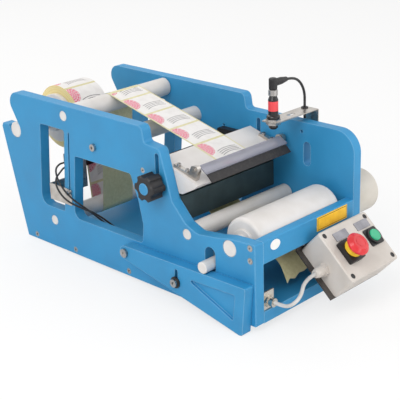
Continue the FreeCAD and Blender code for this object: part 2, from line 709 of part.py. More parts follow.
paper_bar = rod_x(bar_at, bar_r, -bar_overhang, x_out + bar_overhang)
paper_bar = soften(paper_bar, flat_edges_x(paper_bar, -bar_overhang) + flat_edges_x(paper_bar, x_out + bar_overhang), 1.0)
slit = block(24.0, x_far - 4.0, bar_at[0] - 1.2, bar_at[0] + 1.2, bar_at[1] - bar_r - 1, bar_at[1] - 2.0)
paper_bar = paper_bar.cut(slit)

cover_r = 39.0
cover_len = 78.0
profile = [(x_out, cover_r - 3.0), (x_out, cover_r), (x_out + cover_len, cover_r, 7.0)]
profile += [(x_out + cover_len, 0.0), (x_out + cover_len - 3.0, 0.0)]
profile += [(x_out + cover_len - 3.0, cover_r - 3.0, 4.0)]
motor_cover = turned_x(profile, front_roller_at)
cable_in = (x_out + 24.0, front_roller_at[0] + 28.0, front_roller_at[1] + 20.0)
cover_way = (0.0, 0.814, 0.581)
motor_cover = motor_cover.cut(rod(cable_in, cover_way, 2.6, 30.0))
profile = [(x_out, 6.0 + fit), (x_out, 35.0, 0.5), (x_out + 3.0, 35.0, 0.5), (x_out + 3.0, 23.0)]
profile += [(x_out + 62.0, 23.0, 2.0), (x_out + 62.0, 0.0), (x_out + 7.0, 0.0), (x_out + 7.0, 6.0 + fit)]
roller_motor = turned_x(profile, front_roller_at)
screws = []
for a in (60, 180, 300):
    y = front_roller_at[0] + 30.0 * math.cos(math.radians(a))
    z = front_roller_at[1] + 30.0 * math.sin(math.radians(a))
    roller_motor = roller_motor.cut(rod_x((y, z), 2.1, x_out - 1, x_out + 4.0))
    screws.append(screw((x_out + 3.0, y, z), (-1, 0, 0), 3.5, 3.0, 2.0, 16.0, 3.0))
screws_all += screws

# ---- feet ------------------------------------------------------------------------------------

pocket = [(133.0, 52.8, 3.0), (24.9, 56.3, 3.0), (30.6, 9.9, 3.0)]


def foot(x0, outer, way):
    # outer is the exposed face, way points from it into the foot
    x1 = x0 + foot_t
    tip = (foot_tip_y, -foot_drop)
    chain = [(foot_pivot[0], foot_pivot[1] + foot_end_r), (3.6, 73.6, 3.0), (11.6, -10.2, 3.0)]
    low = (foot_pivot[0] + foot_end_r * 0.221, foot_pivot[1] - foot_end_r * 0.975)
    chain += [(foot_tip_y + 2.0, -foot_drop - 0.4, 1.5), low]
    body = union([prism_x(chain, x0, x1), rod_x(foot_pivot, foot_end_r, x0, x1)])
    dip = prism_x(pocket, outer - 5.0, outer + 5.0)
    body = body.cut(dip)
    reach = math.hypot(foot_bolt[0] - foot_pivot[0], foot_bolt[1] - foot_pivot[1])
    at = math.degrees(math.atan2(foot_bolt[1] - foot_pivot[1], foot_bolt[0] - foot_pivot[0]))
    cut = arc_slot_x(foot_pivot, reach, at - 9.2, at, 2 * screw_r + 1.0, x0 - 1, x1 + 1)
    body = body.cut([cut, rod_x(foot_pivot, 5.0 + fit, x0 - 1, x1 + 1)])
    return body


foot_near = foot(-fit - foot_t, -fit - foot_t, 1)
foot_far = foot(x_out + fit, x_out + fit + foot_t, -1)
pivots = []
bolts = []
washers = []
for edge, way in ((0.0, 1), (x_out, -1)):
    y, z = foot_pivot
    out_x = edge - way * (foot_t + 2 * fit)
    shoulder = rod((edge, y, z), (-way, 0, 0), 5.0, foot_t + 2 * fit)
    head = screw((out_x, y, z), (way, 0, 0), 8.0, 4.0, m8_r, foot_t + 16.0, 5.0)
    pivots.append(union([shoulder, head]))
    y, z = foot_bolt
    ring = rod((out_x, y, z), (-way, 0, 0), 10.0, 2.0)
    washers.append(ring.cut(rod((out_x + way, y, z), (-way, 0, 0), screw_r + 0.1, 5.0)))
    bolts.append(screw((out_x - way * 2.0, y, z), (way, 0, 0), 7.0, 5.0, screw_r, foot_t + 18.0, 5.0))
foot_bolts = Part.makeCompound(pivots + bolts)
foot_washers = Part.makeCompound(washers)

# ---- control box ------------------------------------------------------------------------------

tilt = FreeCAD.Rotation(FreeCAD.Vector(1, 0, 0), box_tilt)
box_place = FreeCAD.Placement(vec(box_at), tilt)


def on_box(shape):
    # from the lid frame (X across, Y up the slope, Z out of the lid face)
    out_shape = shape.copy()
    out_shape.Placement = box_place.multiply(out_shape.Placement)
    return out_shape


def rect(w, h, x, y, r):
    half_w = w / 2.0
    half_h = h / 2.0
    return [(x - half_w, y - half_h, r), (x + half_w, y - half_h, r), (x + half_w, y + half_h, r), (x - half_w, y + half_h, r)]


mid = (box_w / 2.0, box_h / 2.0)
shell = prism_z(rect(box_w, box_h, mid[0], mid[1], 5.0), -box_deep, -box_lid)
inside = prism_z(rect(box_w - 6, box_h - 6, mid[0], mid[1], 3.0), -box_deep + box_wall, -box_lid + 1)
corner_at = [(9.0, 9.0), (box_w - 9.0, 9.0), (box_w - 9.0, box_h - 9.0), (9.0, box_h - 9.0)]
pillars = [Part.makeCylinder(6.5, box_deep - box_lid - 0.5, FreeCAD.Vector(p[0], p[1], -box_deep)) for p in corner_at]
shell_solid = shell.cut(inside).fuse([p.common(shell) for p in pillars]).removeSplitter()
gland_local = (0.0, 46.3, -35.1)
shell_solid = shell_solid.cut(rod((-2.0, gland_local[1], gland_local[2]), (1, 0, 0), 8.0, 12.0))
box_body = on_box(shell_solid)
lid = prism_z(rect(box_w, box_h, mid[0], mid[1], 5.0), -box_lid, 0.0)
top_edges = []
for edge in lid.Edges:
    if abs(edge.BoundBox.ZMin) < 1e-4 and abs(edge.BoundBox.ZMax) < 1e-4:
        top_edges.append(edge)
lid = soften(lid, top_edges, 2.0)
lid = lid.cut(prism_z(rect(box_w - 6, box_h - 6, mid[0], mid[1], 3.0), -box_lid - 1, -box_wall))
posts = [Part.makeCylinder(6.5, box_lid - 2.0, FreeCAD.Vector(p[0], p[1], -box_lid)) for p in corner_at]
lid = lid.fuse([p.common(prism_z(rect(box_w, box_h, mid[0], mid[1], 5.0), -box_lid, 0.0)) for p in posts])
lid = lid.removeSplitter()
plugs = []
for p in corner_at:
    lid = lid.cut(Part.makeCylinder(4.6, 6.0, FreeCAD.Vector(p[0], p[1], -4.0)))
    plugs.append(Part.makeCylinder(4.5, 3.4, FreeCAD.Vector(p[0], p[1], -4.0)))
lid = lid.cut(Part.makeCylinder(8.5, 20.0, FreeCAD.Vector(stop_at[0], stop_at[1], -10.0)))
lid = lid.cut(Part.makeCylinder(8.5, 20.0, FreeCAD.Vector(start_at[0], start_at[1], -10.0)))
box_lid_node = on_box(lid)
lid_plugs = on_box(Part.makeCompound(plugs))

sx, sy = stop_at
base = prism_z(rect(34.0, 40.0, sx, sy, 3.0), 0.0, 10.0).cut(Part.makeCylinder(8.4, 12, FreeCAD.Vector(sx, sy, -1)))
stop_base = on_box(base)
collar = turned_z([(8.4, 10.0), (15.5, 10.0, 0.5), (14.0, 17.0, 1.0), (8.4, 17.0)], sx, sy)
stop_collar = on_box(collar)
profile = [(0.0, -4.0), (8.0, -4.0), (8.0, 20.5, 1.0), (stop_r, 22.5, 1.5), (stop_r, 27.0, 3.0)]
profile += [(14.0, 32.5, 4.0), (0.0, 33.5)]
mushroom = turned_z(profile, sx, sy)
ring_cut = turned_z([(8.2, 36.0), (8.2, 32.4), (9.4, 32.4), (9.4, 36.0)], sx, sy)
stop_mushroom = on_box(mushroom.cut(ring_cut))

gx, gy = start_at
bezel = prism_z(rect(31.0, 31.0, gx, gy, 3.0), 0.0, 2.4).fuse(
    Part.makeCylinder(14.0, 6.0, FreeCAD.Vector(gx, gy, 0.0)))
bezel = bezel.removeSplitter().cut(Part.makeCylinder(11.0, 12.0, FreeCAD.Vector(gx, gy, -2.0)))
start_bezel = on_box(bezel)
button = turned_z([(0.0, -8.0), (8.0, -8.0), (8.0, 3.2), (10.6, 3.2), (10.6, 8.5, 1.2), (0.0, 8.5)], gx, gy)
start_button = on_box(button)
legends = []
for x, y in ((42.0, 77.0), (98.5, 77.0)):
    legends.append(prism_z(rect(34.0, 15.0, x, y, 1.5), 0.0, 1.0))
legend_plates = on_box(Part.makeCompound(legends))

gland = hexagon(20.0, 6.0, (-6.0, gland_local[1], gland_local[2]), (1, 0, 0))
gland = union([gland, rod((-6.0, gland_local[1], gland_local[2]), (1, 0, 0), 7.9, 12.0)])
dome = turned_x([(-24.0, 0.0), (-24.0, 6.5, 1.0), (-17.0, 8.6, 1.0), (-6.0, 9.0), (-6.0, 0.0)], (gland_local[1], gland_local[2]))
gland = union([gland, dome])
gland = gland.cut(rod((-25.0, gland_local[1], gland_local[2]), (1, 0, 0), control_d / 2.0 + 0.1, 36.0))
box_gland = on_box(gland)


def box_point(x, y, z):
    p = box_place.multVec(FreeCAD.Vector(x, y, z))
    return (p.x, p.y, p.z)


# bracket sheet along the back of the box, then up to the rail
under = box_point(0.0, 0.0, -box_deep)
over = box_point(0.0, box_h, -box_deep)
slide = (math.cos(math.radians(box_tilt)), math.sin(math.radians(box_tilt)))
down = (slide[1] * 3.0, -slide[0] * 3.0)
rail_z = 102.6
flange_y = 4.4
sheet = [(under[1], under[2]), (over[1], over[2]), (over[1], rail_z - 3.0), (flange_y, rail_z - 3.0)]
sheet += [(flange_y, rail_z), (over[1] + 3.2, rail_z, 4.0)]
sheet += [(over[1] + 3.2, over[2] + down[1] + (3.2 - down[0]) * slide[1] / slide[0])]
sheet += [(under[1] + down[0], under[2] + down[1])]
box_mount_plate = prism_x(sheet, box_at[0] - 10.0, box_at[0] + box_w - 6.0)
screws = []
for x in (box_at[0] + 4.0, box_at[0] + box_w - 20.0):
    drill = rod((x, flange_y + 3.2, rail_z - 3.0), (0, 0, 1), 1.6, 9.0)
    box_mount_plate = box_mount_plate.cut(drill)
    front_rail = front_rail.cut(drill)
    screws.append(screw((x, flange_y + 3.2, rail_z - 3.0), (0, 0, 1), 2.6, 2.2, 1.5, 8.0, 2.0))
screws_all += screws

angle = prism_x([(2.0, board_t), (18.0, board_t, 1.0), (18.0, board_t + 2.5), (4.5, board_t + 2.5, 1.0), (4.5, 52.0), (2.0, 52.0)], x_in + 1.0, x_in + 26.0)
angle = angle.cut(rod((low_gland_at[0], 0.0, low_gland_at[1]), (0, 1, 0), 7.0, 8.0))
gland_bracket = angle
nut = hexagon(18.0, 5.0, (low_gland_at[0], -3.0, low_gland_at[1]), (0, 1, 0))
stem = rod((low_gland_at[0], -12.0, low_gland_at[1]), (0, 1, 0), 7.4, 9.0)
thread = rod((low_gland_at[0], 2.0, low_gland_at[1]), (0, 1, 0), 6.9, 9.0)
lock = hexagon(17.0, 3.0, (low_gland_at[0], 4.5, low_gland_at[1]), (0, 1, 0))
low_gland = union([nut, stem, thread, lock])
low_gland = low_gland.cut(rod((low_gland_at[0], -13.0, low_gland_at[1]), (0, 1, 0), control_d / 2.0 + 0.1, 26.0))

# ---- sensors ------------------------------------------------------------------------------------

px, py = sensor_at
half_w = strip_w / 2.0
leg_x = x_out + 18.0
bend = [(176.0, strip_z - sheet_t), (leg_x, strip_z - sheet_t, 2.0), (leg_x, 228.0)]
bend += [(leg_x + sheet_t, 228.0), (leg_x + sheet_t, strip_z, 4.0), (176.0, strip_z)]
arm = prism_y(bend, py - half_w, py + half_w)
boss_at = (py - 9.0, 240.0)
arm = arm.cut([rod((px, py, 260.0), (0, 0, 1), 8.1, 20.0), rod_x(boss_at, 2.6, leg_x - 1, leg_x + 5)])
grommet_x = x_out + 7.0
grommet_y = py + 6.0
arm = arm.cut(rod((grommet_x, grommet_y, 262.0), (0, 0, 1), 4.3, 20.0))
holes = prism_z(rect(20.0, 6.4, 234.0, py, 3.19), 262.0, 282.0)
sensor_bracket = arm.cut(holes)
boss = rod_x(boss_at, 6.0, x_out, leg_x).cut(rod_x(boss_at, 2.6, x_out - 1, leg_x + 1))
screws_all.append(screw((leg_x + sheet_t, boss_at[0], boss_at[1]), (-1, 0, 0), 4.4, 4.0, 2.5, 34.0, 3.5))

profile = [(0.0, 258.0), (5.5, 259.0, 1.5), (8.0, 262.0, 0.5), (8.0, 277.0), (11.5, 277.0, 1.0)]
profile += [(11.5, 282.0, 1.5), (8.6, 284.0), (8.6, 291.0), (8.0, 291.0), (8.0, 308.0)]
profile += [(8.6, 308.0), (8.6, 310.0), (6.4, 316.0), (6.4, 328.0), (0.0, 328.0)]
bottle_sensor = turned_z(profile, px, py)
sensor_band = turned_z([(8.05, 291.1), (8.6, 291.1), (8.6, 307.9), (8.05, 307.9)], px, py)
rings = []
for z0 in (strip_z - sheet_t - 4.5, strip_z):
    ring = hexagon(22.0, 3.4 if z0 > strip_z - 1 else 4.5, (px, py, z0), (0, 0, 1))
    rings.append(ring.cut(rod((px, py, z0 - 1), (0, 0, 1), 8.05, 8.0)))
rings.append(turned_z([(6.45, 317.0), (8.0, 317.0, 0.5), (8.0, 327.0, 0.5), (6.45, 327.0)], px, py))
sensor_nuts = Part.makeCompound(rings)
elbow = turned_z([(0.0, 328.1), (7.2, 328.1, 0.8), (7.2, 347.0, 3.0), (0.0, 347.0)], px, py)
arm_out = turned_x([(px, 0.0), (px, 6.2), (px + 20.0, 6.2, 1.0), (px + 35.0, 3.9, 0.8), (px + 35.0, 0.0)], (py, 338.0))
elbow = union([elbow, arm_out]).cut(rod((px + 14.0, py, 338.0), (1, 0, 0), sensor_d / 2.0 + 0.05, 30.0))
sensor_elbow = elbow
bush = turned_z([(sensor_d / 2.0 + 0.1, 269.5), (6.2, 269.5, 0.5), (6.2, 271.4), (4.2, 271.4), (4.2, 273.6), (6.2, 273.6),
                (6.2, 275.5, 0.5), (sensor_d / 2.0 + 0.1, 275.5)], grommet_x, grommet_y)

# gap sensor on its bent sheet bracket, held in the strut slot
tab = prism_x([(440.0, 97.0, 3.0), (502.0, 97.0, 1.0), (502.0, 128.0, 1.0), (440.0, 128.0, 3.0)], -sheet_t, 0.0)
wing = block(-sheet_t, 66.0, 500.0, 502.0, 97.0, 128.0)
riser = block(62.0, 86.0, 500.0, 502.0, 97.0, 160.0)
gap_bracket = union([tab, wing.cut(block(-3, 21, 499, 503, 96, 97)), riser])
gap_bracket = gap_bracket.cut(rod_x(gap_bolt_at, 1.9, -5, 5))
ring = rod_x(gap_bolt_at, 7.0, -sheet_t - 1.5, -sheet_t).cut(rod_x(gap_bolt_at, 1.9, -5, 0))
bolt = screw((-sheet_t - 1.5, gap_bolt_at[0], gap_bolt_at[1]), (1, 0, 0), 4.0, 4.0, 1.8, 32.0, 3.0)
screws_all += [bolt, ring]
back_nut = hexagon(8.0, 4.0, (x_in + 0.1, gap_bolt_at[0], gap_bolt_at[1]), (1, 0, 0))
screws_all.append(back_nut.cut(rod_x(gap_bolt_at, 1.85, x_in - 1, x_in + 6)))
fork_at = 148.0
web_line = lines[0]
web_y = web_line[1][0] + (fork_at - web_line[1][1]) * web_line[3][0] / web_line[3][1]
fork = block(62.0, 126.0, 502.0, web_y + 14.0, 137.0, 159.0)
edges = [e for e in fork.Edges if abs(e.BoundBox.ZMax - e.BoundBox.ZMin) > 1.0]
fork = soften(fork, edges, 2.0)
a, b, heading = web_line[1], web_line[2], web_line[3]
opening = strip([("line", a, b, heading)], -2.4, 2.2, web_x - 6.0, 140.0)
gap_sensor = fork.cut(opening)

# ---- cords ------------------------------------------------------------------------------------


def cord(points, d, name):
    # straight runs joined by tangent arcs
    pts = [vec(p) for p in points]
    edges = []
    last = pts[0]
    radii = []
    for i in range(1, len(pts) - 1):
        back = pts[i - 1] - pts[i]
        ahead = pts[i + 1] - pts[i]
        reach = 0.45 * min(back.Length, ahead.Length)
        back.normalize()
        ahead.normalize()
        half = back.getAngle(ahead) / 2.0
        if half > 1.566:
            continue
        radius = reach * math.tan(half)
        radii.append(round(radius / d, 1))
        start = pts[i] + back * reach
        stop = pts[i] + ahead * reach
        bis = back + ahead
        bis.normalize()
        middle = pts[i] + bis * (radius / math.sin(half) - radius)
        edges.append(Part.LineSegment(last, start).toShape())
        edges.append(Part.Arc(start, middle, stop).toShape())
        last = stop
    edges.append(Part.LineSegment(last, pts[-1]).toShape())
    path = Part.Wire(edges)
    face = Part.Wire(Part.Circle(pts[0], pts[1] - pts[0], d / 2.0).toShape())
    tube = path.makePipeShell([face], True, True)
    full = math.pi * d * d / 4.0 * path.Length
    print(name, "radii/d", radii, "length", round(path.Length, 1), "volume", round(tube.Volume / full, 4))
    return tube


start = box_point(-20.0, gland_local[1], gland_local[2])
control_route = [start, (start[0] - 30.0, start[1], start[2])]
control_route += [(46.0, -53.0, 52.0), (32.5, -41.0, 37.5), (low_gland_at[0], -22.0, low_gland_at[1]), (low_gland_at[0], 10.0, low_gland_at[1])]
control_cable = cord(control_route, control_d, "control_cable")
hub_y, hub_z = front_roller_at
sensor_route = [(px + 20.0, py, 338.0), (px + 45.0, py, 338.0), (px + 72.0, py + 3.0, 328.0)]
sensor_route += [(grommet_x, grommet_y, 304.0), (grommet_x, grommet_y, 276.0), (grommet_x, grommet_y, 246.0)]
sensor_route += [(grommet_x + 3.0, grommet_y, 220.0), (x_out + 16.0, grommet_y - 2.0, 196.0)]
sensor_route += [(x_out + 22.0, hub_y + 63.0, hub_z + 52.0), (x_out + 24.0, hub_y + 0.814 * 58.0, hub_z + 0.581 * 58.0)]
sensor_route += [(x_out + 24.0, hub_y + 0.814 * 33.0, hub_z + 0.581 * 33.0)]
sensor_cable = cord(sensor_route, sensor_d, "sensor_cable")
upper_route = [(62.0, 514.0, 152.0), (44.0, 514.0, 152.0), (17.0, 494.0, 161.0), (-10.0, 472.0, 162.0)]
upper_route += [(-20.0, 450.0, 144.0), (-14.0, 430.0, 120.0), (6.0, 414.0, 98.0), (26.0, 398.0, 74.0)]
upper_route += [(42.0, 376.0, 50.0), (48.0, 346.0, 33.0), (48.0, 312.0, 28.0), (48.0, 276.0, 28.0)]
gap_cable_upper = cord(upper_route, gap_d, "gap_cable_upper")
lower_route = [(62.0, 514.0, 144.0), (44.0, 514.0, 144.0), (20.0, 497.0, 143.0), (-6.0, 478.0, 143.0)]
lower_route += [(-22.0, 456.0, 134.0), (-22.0, 432.0, 116.0), (-4.0, 414.0, 101.0), (20.0, 400.0, 86.0)]
lower_route += [(42.0, 380.0, 60.0), (54.0, 352.0, 38.0), (56.0, 318.0, 28.0), (56.0, 276.0, 28.0)]
gap_cable_lower = cord(lower_route, gap_d, "gap_cable_lower")
clip = block(42.0, 62.0, 270.0, 282.0, board_t, 34.0)
for x in (48.0, 56.0):
    clip = clip.cut(rod((x, 269.0, 28.0), (0, 1, 0), gap_d / 2.0 + 0.1, 14.0))
cable_clip = clip

# ---- nodes ------------------------------------------------------------------------------------

cord_names = ["control_cable", "sensor_cable", "gap_cable_upper", "gap_cable_lower"]
nodes = {
    "side_plate_near": side_plate_near,
    "side_plate_far": side_plate_far,
    "base_board": base_board,
    "front_rail": front_rail,
    "machine_screws": Part.makeCompound(screws_all),
    "spacer_bar": spacer_bar,
    "rail_plaque": rail_plaque,
    "guide_roller_top": guide_roller_top,
    "guide_roller_low": guide_roller_low,
    "rear_roller": rear_roller,
    "front_roller": front_roller,
    "reel_spindle": reel_spindle,
    "reel_flanges": reel_flanges,
    "roll_core": roll_core,
    "label_roll": label_roll,
    "label_web": label_web,
    "backing_paper": backing_paper,
    "web_labels": web_labels,
    "peel_table": peel_table,
    "table_block": table_block,
    "peel_beam": peel_beam,
    "clamp_knob_near": clamp_knob_near,
    "knob_cap_near": knob_cap_near,
    "clamp_knob_far": clamp_knob_far,
    "knob_cap_far": knob_cap_far,
    "squeegee_brackets": squeegee_brackets,
    "squeegee_rod": squeegee_rod,
    "squeegee_strip": squeegee_strip,
    "squeegee_blade": squeegee_blade,
    "feed_roller": feed_roller,
    "pinch_roller": pinch_roller,
    "feed_bearing": feed_bearing,
    "drive_motors": Part.makeCompound([feed_motor, roller_motor]),
    "paper_bar": paper_bar,
    "motor_cover": motor_cover,
    "foot_near": foot_near,
    "foot_far": foot_far,
    "foot_bolts": foot_bolts,
    "foot_washers": foot_washers,
    "box_mount_plate": box_mount_plate,
    "box_body": box_body,
    "box_lid": box_lid_node,
    "lid_fittings": Part.makeCompound([lid_plugs, stop_base, start_bezel]),
    "stop_collar": stop_collar,
    "stop_mushroom": stop_mushroom,
    "start_button": start_button,
    "legend_plates": legend_plates,
    "cable_glands": box_gland,
    "low_gland": Part.makeCompound([low_gland, gland_bracket]),
    "control_cable": control_cable,
    "sensor_bracket": sensor_bracket,
    "bottle_sensor": bottle_sensor,
    "sensor_band": sensor_band,
    "sensor_nuts": Part.makeCompound([sensor_nuts, boss]),
    "sensor_elbow": Part.makeCompound([sensor_elbow, bush, cable_clip]),
    "sensor_cable": sensor_cable,
    "gap_bracket": gap_bracket,
    "gap_sensor": gap_sensor,
    "gap_cable_upper": gap_cable_upper,
    "gap_cable_lower": gap_cable_lower,
}

# the machine stands on the rear ends of its plates and the tips of its feet
lean_deg = -math.degrees(math.atan2(foot_drop + 0.5, rear_foot_y - foot_tip_y - 2.0))
stance = FreeCAD.Placement(
    FreeCAD.Vector(0, 0, 0), FreeCAD.Rotation(FreeCAD.Vector(1, 0, 0), lean_deg), FreeCAD.Vector(0, rear_foot_y, 0))


def stood(shape, place):
    moved = shape.copy()
    moved.Placement = place.multiply(moved.Placement)
    return moved


low = FreeCAD.BoundBox()
for name in nodes:
    low.add(stood(nodes[name], stance).optimalBoundingBox(False, False))
centre = FreeCAD.Vector(-(low.XMin + low.XMax) / 2.0, -(low.YMin + low.YMax) / 2.0, -low.ZMin)
stand = FreeCAD.Placement(centre, FreeCAD.Rotation()).multiply(stance)
print("lean", round(lean_deg, 4), "shift", [round(v, 4) for v in centre])
print("size", round(low.XLength, 2), round(low.YLength, 2), round(low.ZLength, 2))


def moved_point(p):
    q = stand.multVec(vec(p))
    return [q.x / 1000.0, q.y / 1000.0, q.z / 1000.0]


os.makedirs("parts", exist_ok=True)
for name in nodes:
    shape = stood(nodes[name], stand)
    if not shape.isValid() or not shape.Solids:
        print("CHECK", name, shape.isValid(), len(shape.Solids))
    shape.exportStep("parts/" + name + ".step")
print("nodes", len(nodes))
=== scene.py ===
import math

import bpy
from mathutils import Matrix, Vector


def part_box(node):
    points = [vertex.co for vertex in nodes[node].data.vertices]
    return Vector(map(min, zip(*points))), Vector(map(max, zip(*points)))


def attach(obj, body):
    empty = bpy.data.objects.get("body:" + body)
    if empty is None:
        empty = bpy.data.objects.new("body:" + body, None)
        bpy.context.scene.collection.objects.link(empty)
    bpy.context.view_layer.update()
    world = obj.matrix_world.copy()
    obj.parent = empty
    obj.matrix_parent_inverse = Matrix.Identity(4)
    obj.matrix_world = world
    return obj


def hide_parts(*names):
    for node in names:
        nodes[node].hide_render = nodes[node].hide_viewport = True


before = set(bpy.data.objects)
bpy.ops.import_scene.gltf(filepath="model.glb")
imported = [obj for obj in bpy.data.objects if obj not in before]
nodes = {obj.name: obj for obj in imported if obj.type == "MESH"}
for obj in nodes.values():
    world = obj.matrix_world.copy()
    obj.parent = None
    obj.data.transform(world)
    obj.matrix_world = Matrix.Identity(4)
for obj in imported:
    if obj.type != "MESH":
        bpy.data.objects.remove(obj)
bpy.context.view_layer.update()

perMetre = 1000.0             # patterns are sized in millimetres, Blender works in metres
noiseLow, noiseHigh = 0.3, 0.7    # a noise texture seldom leaves this span
waveTurn = math.tau / 20.0    # from ring to ring of a wave texture at scale 1
print("frame loaded:", len(nodes), "nodes")


def hexToLinear(code):
    # sRGB hex string to the linear colour that shaders take
    parts = [int(code[i:i + 2], 16) / 255.0 for i in (1, 3, 5)]
    linear = [p / 12.92 if p <= 0.04045 else ((p + 0.055) / 1.055) ** 2.4 for p in parts]
    return (linear[0], linear[1], linear[2], 1.0)


def addNode(tree, kind, settings=None, inputs=None):
    # one node with its settings and links; an operation's name may stand alone for its settings,
    # "stops" moves a colour ramp's stops, and a tuple of inputs fills them in order
    node = tree.nodes.new("ShaderNode" + kind)
    settings = {"operation": settings} if isinstance(settings, str) else dict(settings or {})
    for place, (position, code) in enumerate(settings.pop("stops", [])):
        stops = node.color_ramp.elements
        stop = stops[place] if place < len(stops) else stops.new(position)
        stop.position = position
        stop.color = hexToLinear(code)
    for key, value in settings.items():
        setattr(node, key, value)
    inputs = dict(enumerate(inputs)) if isinstance(inputs, tuple) else inputs or {}
    for key, value in inputs.items():
        if isinstance(value, bpy.types.Node):     # a node stands for its first live output
            value = [socket for socket in value.outputs if socket.enabled][0]
        if isinstance(value, bpy.types.NodeSocket):
            tree.links.new(value, node.inputs[key])
        else:
            node.inputs[key].default_value = value
    return node


def newMaterial(name):
    material = bpy.data.materials.new(name)
    material.use_nodes = True
    tree = material.node_tree
    tree.nodes.clear()
    return material, tree, addNode(tree, "TexCoord").outputs["Object"]


def nodeCentre(name):
    low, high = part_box(name)
    return [(low[i] + high[i]) / 2.0 for i in range(3)]


def paint(material, *names):
    # puts one finish on CAD nodes
    for name in names:
        for place in nodes[name].material_slots:
            place.material = material


cameraPlan = {
    "place": (-1.2584, -1.24751, 0.82281),
    "turn": (67.9488, 1.1046, -45.9413),    # degrees about X, Y, Z
    "lens": 94.5,
    "sensor": 36.0,
    "farEnd": 100.0,
}

cameraData = bpy.data.cameras.new("camera")
camera = bpy.data.objects.new("camera", cameraData)
cameraData.lens = cameraPlan["lens"]
cameraData.sensor_width = cameraPlan["sensor"]
cameraData.clip_end = cameraPlan["farEnd"]
camera.location = cameraPlan["place"]
camera.rotation_euler = [math.radians(a) for a in cameraPlan["turn"]]
bpy.context.scene.collection.objects.link(camera)
bpy.context.scene.camera = camera
bpy.context.scene.view_settings.view_transform = "Standard"


# what every finish of one kind shares: sizes in millimetres, bump depth in metres
hdpeSkin = {"bumpDepth": 0.0003, "ior": 1.53, "scatter": (0.004, 0.004, 0.004), "grainShare": 0.75,
            "highlightTurn": (0.99, 0.86)}
plasticSkin = {"cloudMm": 35.0, "bumpDepth": 0.0002, "ior": 1.5}
metalSkin = {"stainMm": 18.0, "bumpDepth": 0.0001}
coatSkin = {"dustMm": 24.0, "bumpDepth": 0.0002}
rubberSkin = {"speckMm": 6.0, "bump": 0.25, "bumpDepth": 0.0002, "ior": 1.52}
paperSkin = {"fibreMm": 0.7, "bump": 0.12, "bumpDepth": 0.0002, "soft": 0.15,
             "scatter": (0.002, 0.002, 0.001)}


def milledHdpe(name, plan):
    # high-density polyethylene cut on a router or lathe: waxy and softly mottled, with faint cutter marks
    material, tree, where = newMaterial(name)
    cloud = addNode(tree, "TexNoise", None, {
        "Vector": where, "Scale": perMetre / plan["mottleMm"], "Detail": 4.0})
    tint = addNode(tree, "ValToRGB", {"stops": [(0.3, plan["dark"]), (0.62, plan["colour"])]}, (cloud,))
    # the cutter leaves the arrises rounded, and a paler colour is painted along them as a highlight where the
    # rounded normal turns away from the face
    arris = addNode(tree, "Bevel", {"samples": 6}, {"Radius": plan["edgeMm"] / perMetre})
    face = addNode(tree, "NewGeometry").outputs["Normal"]
    turn = addNode(tree, "VectorMath", "DOT_PRODUCT", (arris, face))
    edgeHighlight = addNode(tree, "MapRange", None, {
        "Value": turn, "From Min": hdpeSkin["highlightTurn"][0], "From Max": hdpeSkin["highlightTurn"][1],
        "To Min": 0.0, "To Max": plan["edgeHighlight"]})
    # painted highlight: the edge colour is mixed in as the bevelled normal turns from the face normal
    highlighted = addNode(tree, "Mix", {"data_type": "RGBA"}, {0: edgeHighlight, 6: tint, 7: hexToLinear(plan["edge"])})
    rough = addNode(tree, "MapRange", None, {
        "Value": cloud, "From Min": noiseLow, "From Max": noiseHigh,
        "To Min": plan["rough"][0], "To Max": plan["rough"][1]})
    # cutter marks are under 0.2 mm apart in life, drawn as swirls 8 to 10 mm apart so that they show
    marks = addNode(tree, "TexWave", {"wave_type": "RINGS", "rings_direction": "SPHERICAL"}, {
        "Vector": where, "Scale": perMetre * waveTurn / plan["marksMm"], "Distortion": 1.5, "Detail": 2.0})
    grain = addNode(tree, "TexNoise", None, {
        "Vector": where, "Scale": perMetre / plan["grainMm"], "Detail": 3.0})
    height = addNode(tree, "Mix", {"data_type": "FLOAT"}, {
        0: hdpeSkin["grainShare"], 2: marks.outputs["Fac"], 3: grain})
    bump = addNode(tree, "Bump", None, {
        "Strength": plan["bump"], "Distance": hdpeSkin["bumpDepth"], "Height": height, "Normal": arris})
    surface = addNode(tree, "BsdfPrincipled", None, {
        "Base Color": highlighted, "Roughness": rough, "Normal": bump, "IOR": hdpeSkin["ior"],
        "Subsurface Weight": plan["waxy"], "Subsurface Radius": hdpeSkin["scatter"]})
    addNode(tree, "OutputMaterial", None, {"Surface": surface})
    return material


def mouldedPlastic(name, plan):
    # injection-moulded or extruded plastic: even colour and the fine spark-eroded texture of its tool,
    # which is under 0.1 mm in life and drawn coarser so that it shows
    material, tree, where = newMaterial(name)
    cloud = addNode(tree, "TexNoise", None, {
        "Vector": where, "Scale": perMetre / plasticSkin["cloudMm"], "Detail": 2.0})
    tint = addNode(tree, "ValToRGB", {"stops": [(0.3, plan["dark"]), (0.6, plan["colour"])]}, (cloud,))
    rough = addNode(tree, "MapRange", None, {
        "Value": cloud, "To Min": plan["rough"][0], "To Max": plan["rough"][1]})
    grain = addNode(tree, "TexNoise", None, {
        "Vector": where, "Scale": perMetre / plan["grainMm"], "Detail": 5.0})
    bump = addNode(tree, "Bump", None, {
        "Strength": plan["bump"], "Distance": plasticSkin["bumpDepth"], "Height": grain})
    surface = addNode(tree, "BsdfPrincipled", None, {
        "Base Color": tint, "Roughness": rough, "Normal": bump, "IOR": plasticSkin["ior"]})
    addNode(tree, "OutputMaterial", None, {"Surface": surface})
    return material


